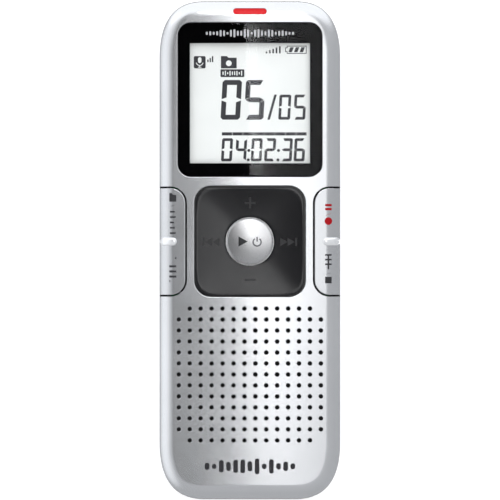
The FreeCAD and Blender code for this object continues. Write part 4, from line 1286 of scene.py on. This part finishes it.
def red_window():
    """Translucent red plastic with painted shade, darker towards the outer edge where it curves down, and a
    faint painted glow.
    """
    finish = Finish("light_red")
    grains = finish.noise(0.25, 2.0)
    # painted shade: darker towards the outer edge, where the window curves down
    outward = finish.ranged(finish.axis("Y"), 0.0, 1.0, 50.7 * MM, 52.1 * MM)
    mixed = finish.sum(outward, grains, 0.12)
    tone = finish.blend(finish.ranged(mixed, 0, 1, 0.0, 1.0), (0.6, 0.014, 0.018), (0.45, 0.008, 0.012))
    finish.colour(tone)
    finish.roughness(finish.ranged(grains, 0.2, 0.3))
    finish.bump(grains, 0.001)
    finish.fixed("Specular IOR Level", 0.2)
    # painted glow: the window gives off a faint red light of its own
    finish.glow(tone, 0.15)
    return finish


def board_mask():
    """Green solder mask over faint tracks, with small pale pads."""
    finish = Finish("board_green")
    tracks = finish.add("TexBrick", {
        "Vector": finish.place, "Scale": 1 / (2.4 * MM), "Mortar Size": 0.05,
        "Color1": (0.012, 0.085, 0.035, 1), "Color2": (0.016, 0.11, 0.045, 1),
        "Mortar": (0.03, 0.19, 0.08, 1)})
    grains = finish.noise(0.2, 2.0)
    finish.colour(finish.blend(finish.ranged(grains, 0, 0.3), tracks.outputs["Color"], (0.02, 0.14, 0.06)))
    finish.roughness(finish.ranged(grains, 0.3, 0.45))
    finish.bump(finish.sum(grains, tracks.outputs["Fac"], 1.5), 0.008)
    return finish


def cell_sleeve():
    """Printed cell sleeve: dark body with a lighter band near its ends and a satin film."""
    finish = Finish("cell_sleeve")
    grains = finish.noise(0.3, 2.0)
    bands = finish.wave(30.0, "Y")
    edge = finish.ranged(bands, 0, 1, 0.62, 0.66)
    finish.colour(finish.blend(edge, (0.022, 0.024, 0.03), (0.5, 0.34, 0.12)))
    finish.roughness(finish.ranged(grains, 0.25, 0.36))
    finish.bump(grains, 0.002)
    finish.fixed("Metallic", 0.4)
    return finish


def wound_wire():
    """Fine copper winding."""
    finish = Finish("copper_wire")
    turns = finish.wave(0.08, "Z")
    grains = finish.noise(0.1, 2.0)
    finish.colour(finish.blend(turns, (0.42, 0.15, 0.06), (0.72, 0.33, 0.16)))
    finish.roughness(finish.ranged(grains, 0.28, 0.4))
    finish.bump(turns, 0.02)
    finish.fixed("Metallic", 1.0)
    return finish


def woven(name, pitch, first, second, rough, depth):
    """Fine woven or pressed pattern."""
    finish = Finish(name)
    weave = finish.sum(finish.wave(pitch, "X"), finish.wave(pitch, "Y"))
    grains = finish.noise(pitch * 2, 2.0)
    mixed = finish.sum(weave, grains, 0.6)
    finish.colour(finish.blend(finish.ranged(mixed, 0, 1, 0.3, 2.0), first, second))
    finish.roughness(finish.ranged(grains, rough - 0.08, rough + 0.08))
    finish.bump(mixed, depth)
    return finish


def paint_everything():
    """Give every piece and every CAD node the finish of its slot or its ink."""
    made = {}
    for *values, others in PLAIN:
        made[values[0]] = plain_finish(*values, **others)
    cloth = woven("dust_cloth", 0.14, (0.006, 0.006, 0.007), (0.03, 0.03, 0.032), 0.8, 0.03)
    film = woven("cone_film", 0.5, (0.03, 0.03, 0.034), (0.06, 0.06, 0.065), 0.4, 0.01)
    for finish in (spun_metal(), clear_lens(), display_panel(), red_window(), board_mask(), cell_sleeve(),
                   wound_wire(), cloth, film):
        made[finish.name] = finish
    slot_of = {row["node"]: row["material_slot"] for row in frame["record"]["subparts"]}
    for piece in bpy.data.objects:
        if piece.type != "MESH":
            continue
        name = piece.get("ink") or piece.get("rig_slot") or slot_of.get(piece.name)
        if name:
            piece.data.materials.clear()
            piece.data.materials.append(made[name].material)
        if piece.get("painted_outside"):
            piece.data.materials.append(made["inner_plastic"].material)
            mark_inner_faces(piece)


paint_everything()


# ---------------- camera, floor and lights

CAMERA_LENS = 400
SENSOR_WIDTH = 36
CAMERA_AIM = (0.02 * MM, 0.04 * MM)
FACE_ACROSS = 107.55 * MM

# overhead light: each strip's start and end angle, its radiance and the Y of its near end
PANEL_HEIGHT = 1.5
STRIPS = ((0.0, 2.2, 6.0, -0.08), (2.2, 4.5, 2.6, -0.1), (4.5, 9.0, 1.4, -0.15), (9.0, 16.0, 1.2, -0.17),
          (16.0, 26.0, 0.8, -0.17))
STRIP_TURN = 20.0
STRIP_FAR_Y = 1.1
STRIP_PIVOT_Y = 0.04
FLAG_REACH = -0.8
FLAG_SPAN = (-0.2, 1.3)
FLAG_RISE = 0.02

# room: strengths, and where along X and Y of the view direction they change
WORLD_COLOUR = (0.95, 0.97, 1.0, 1)
WORLD_RIGHT = 0.42
WORLD_LEFT = 1.1
WORLD_LEFT_SPAN = (-1.02, -0.55)
WORLD_FAR = 0.85
WORLD_FAR_SPAN = (0.3, 0.6)

FLOOR_SPAN = (-2.0, 2.0)
FLOOR_GLOW = 0.4
FLOOR_GAP = 0.05 * MM
FILL_SIDE = 2.4
FILL_HEIGHT = 1.3
FILL_POWER = 20.0


def area_light(name, place, size, power, turn=0.0, glossy=True):
    """Rectangular light that faces straight down, turned about the vertical."""
    lamp = bpy.data.lights.new(name, "AREA")
    lamp.shape = "RECTANGLE"
    lamp.size, lamp.size_y = size
    lamp.energy = power
    holder = linked(name, lamp)
    holder.location = place
    holder.rotation_euler = (0, 0, math.radians(turn))
    holder.visible_glossy = glossy


def flat_sheet(name, x, y, z, turn=0.0, pivot=(0.0, 0.0)):
    """Flat rectangle, turned about the vertical."""
    mesh = bpy.data.meshes.new(name)
    c, s = math.cos(math.radians(turn)), math.sin(math.radians(turn))
    corners = []
    for px, py in ((x[0], y[0]), (x[1], y[0]), (x[1], y[1]), (x[0], y[1])):
        dx, dy = px - pivot[0], py - pivot[1]
        corners.append((pivot[0] + dx * c - dy * s, pivot[1] + dx * s + dy * c, z))
    mesh.from_pydata(corners, [], [(0, 1, 2, 3)])
    sheet = linked(name, mesh)
    return sheet


def overhead_strips():
    """Soft box overhead, brightest at its left edge, with a dark flag beside it."""
    c, s = math.cos(math.radians(STRIP_TURN)), math.sin(math.radians(STRIP_TURN))
    for start, end, radiance, near_y in STRIPS:
        y = (near_y + STRIP_FAR_Y) / 2 - STRIP_PIVOT_Y
        length = STRIP_FAR_Y - near_y
        x0, x1 = (PANEL_HEIGHT * math.tan(math.radians(a)) for a in (start, end))
        x = (x0 + x1) / 2
        place = (x * c - y * s, STRIP_PIVOT_Y + x * s + y * c, PANEL_HEIGHT)
        power = radiance * math.pi * (x1 - x0) * length
        area_light("strip", place, (x1 - x0, length), power, STRIP_TURN)
    flag = flat_sheet("dark_flag", (FLAG_REACH, 0.0), FLAG_SPAN, PANEL_HEIGHT + FLAG_RISE, STRIP_TURN,
                      (0.0, STRIP_PIVOT_Y))
    cloth = plain_finish("flag_cloth", (0.02, 0.02, 0.02), 0.9, 0.0, 3.0, 0.1, 0.06)
    flag.data.materials.append(cloth.material)


def floor_paper():
    """Plain pale paper that glows a little, so that it stays white around the object."""
    finish = Finish("floor_paper")
    fibres = finish.noise(1.5, 3.0)
    tone = finish.blend(fibres, (0.92, 0.92, 0.92), (0.95, 0.95, 0.95))
    finish.colour(tone)
    finish.glow(tone, FLOOR_GLOW)
    finish.roughness(finish.ranged(fibres, 0.75, 0.85))
    finish.bump(fibres, 0.01)
    finish.fixed("Specular IOR Level", 0.1)
    return finish


def studio_world():
    """Even grey room that is brighter to the left and beyond the top end."""
    world = bpy.data.worlds.new("studio")
    world.use_nodes = True
    tree = world.node_tree
    way = add_node(tree, "SeparateXYZ", {0: add_node(tree, "TexCoord", {}).outputs["Generated"]})

    def spread(axis, span, low, high):
        inputs = {"Value": way.outputs[axis], "From Min": span[0], "From Max": span[1], "To Min": low,
                  "To Max": high}
        return add_node(tree, "MapRange", inputs, interpolation_type="SMOOTHSTEP").outputs["Result"]
    total = add_node(tree, "Math", {0: spread("X", WORLD_LEFT_SPAN, WORLD_LEFT, WORLD_RIGHT),
                                    1: spread("Y", WORLD_FAR_SPAN, 0.0, WORLD_FAR)})
    background = tree.nodes["Background"]
    background.inputs["Color"].default_value = WORLD_COLOUR
    tree.links.new(total.outputs[0], background.inputs["Strength"])
    return world


def stage():
    """Pale floor, soft lights and a long lens straight above the face."""
    scene = bpy.context.scene
    scene.view_settings.view_transform = "Standard"
    lens_camera = bpy.data.cameras.new("camera")
    lens_camera.lens = CAMERA_LENS
    lens_camera.sensor_width = SENSOR_WIDTH
    away = FACE_ACROSS * lens_camera.lens / lens_camera.sensor_width
    eye = linked("camera", lens_camera)
    eye.location = (*CAMERA_AIM, THICKNESS + away)
    scene.camera = eye

    floor = flat_sheet("floor", FLOOR_SPAN, FLOOR_SPAN, -FLOOR_GAP)
    floor.visible_glossy = False
    floor.data.materials.append(floor_paper().material)
    scene.world = studio_world()
    overhead_strips()
    area_light("fill", (0, 0, FILL_HEIGHT), (FILL_SIDE, FILL_SIDE), FILL_POWER, glossy=False)


stage()
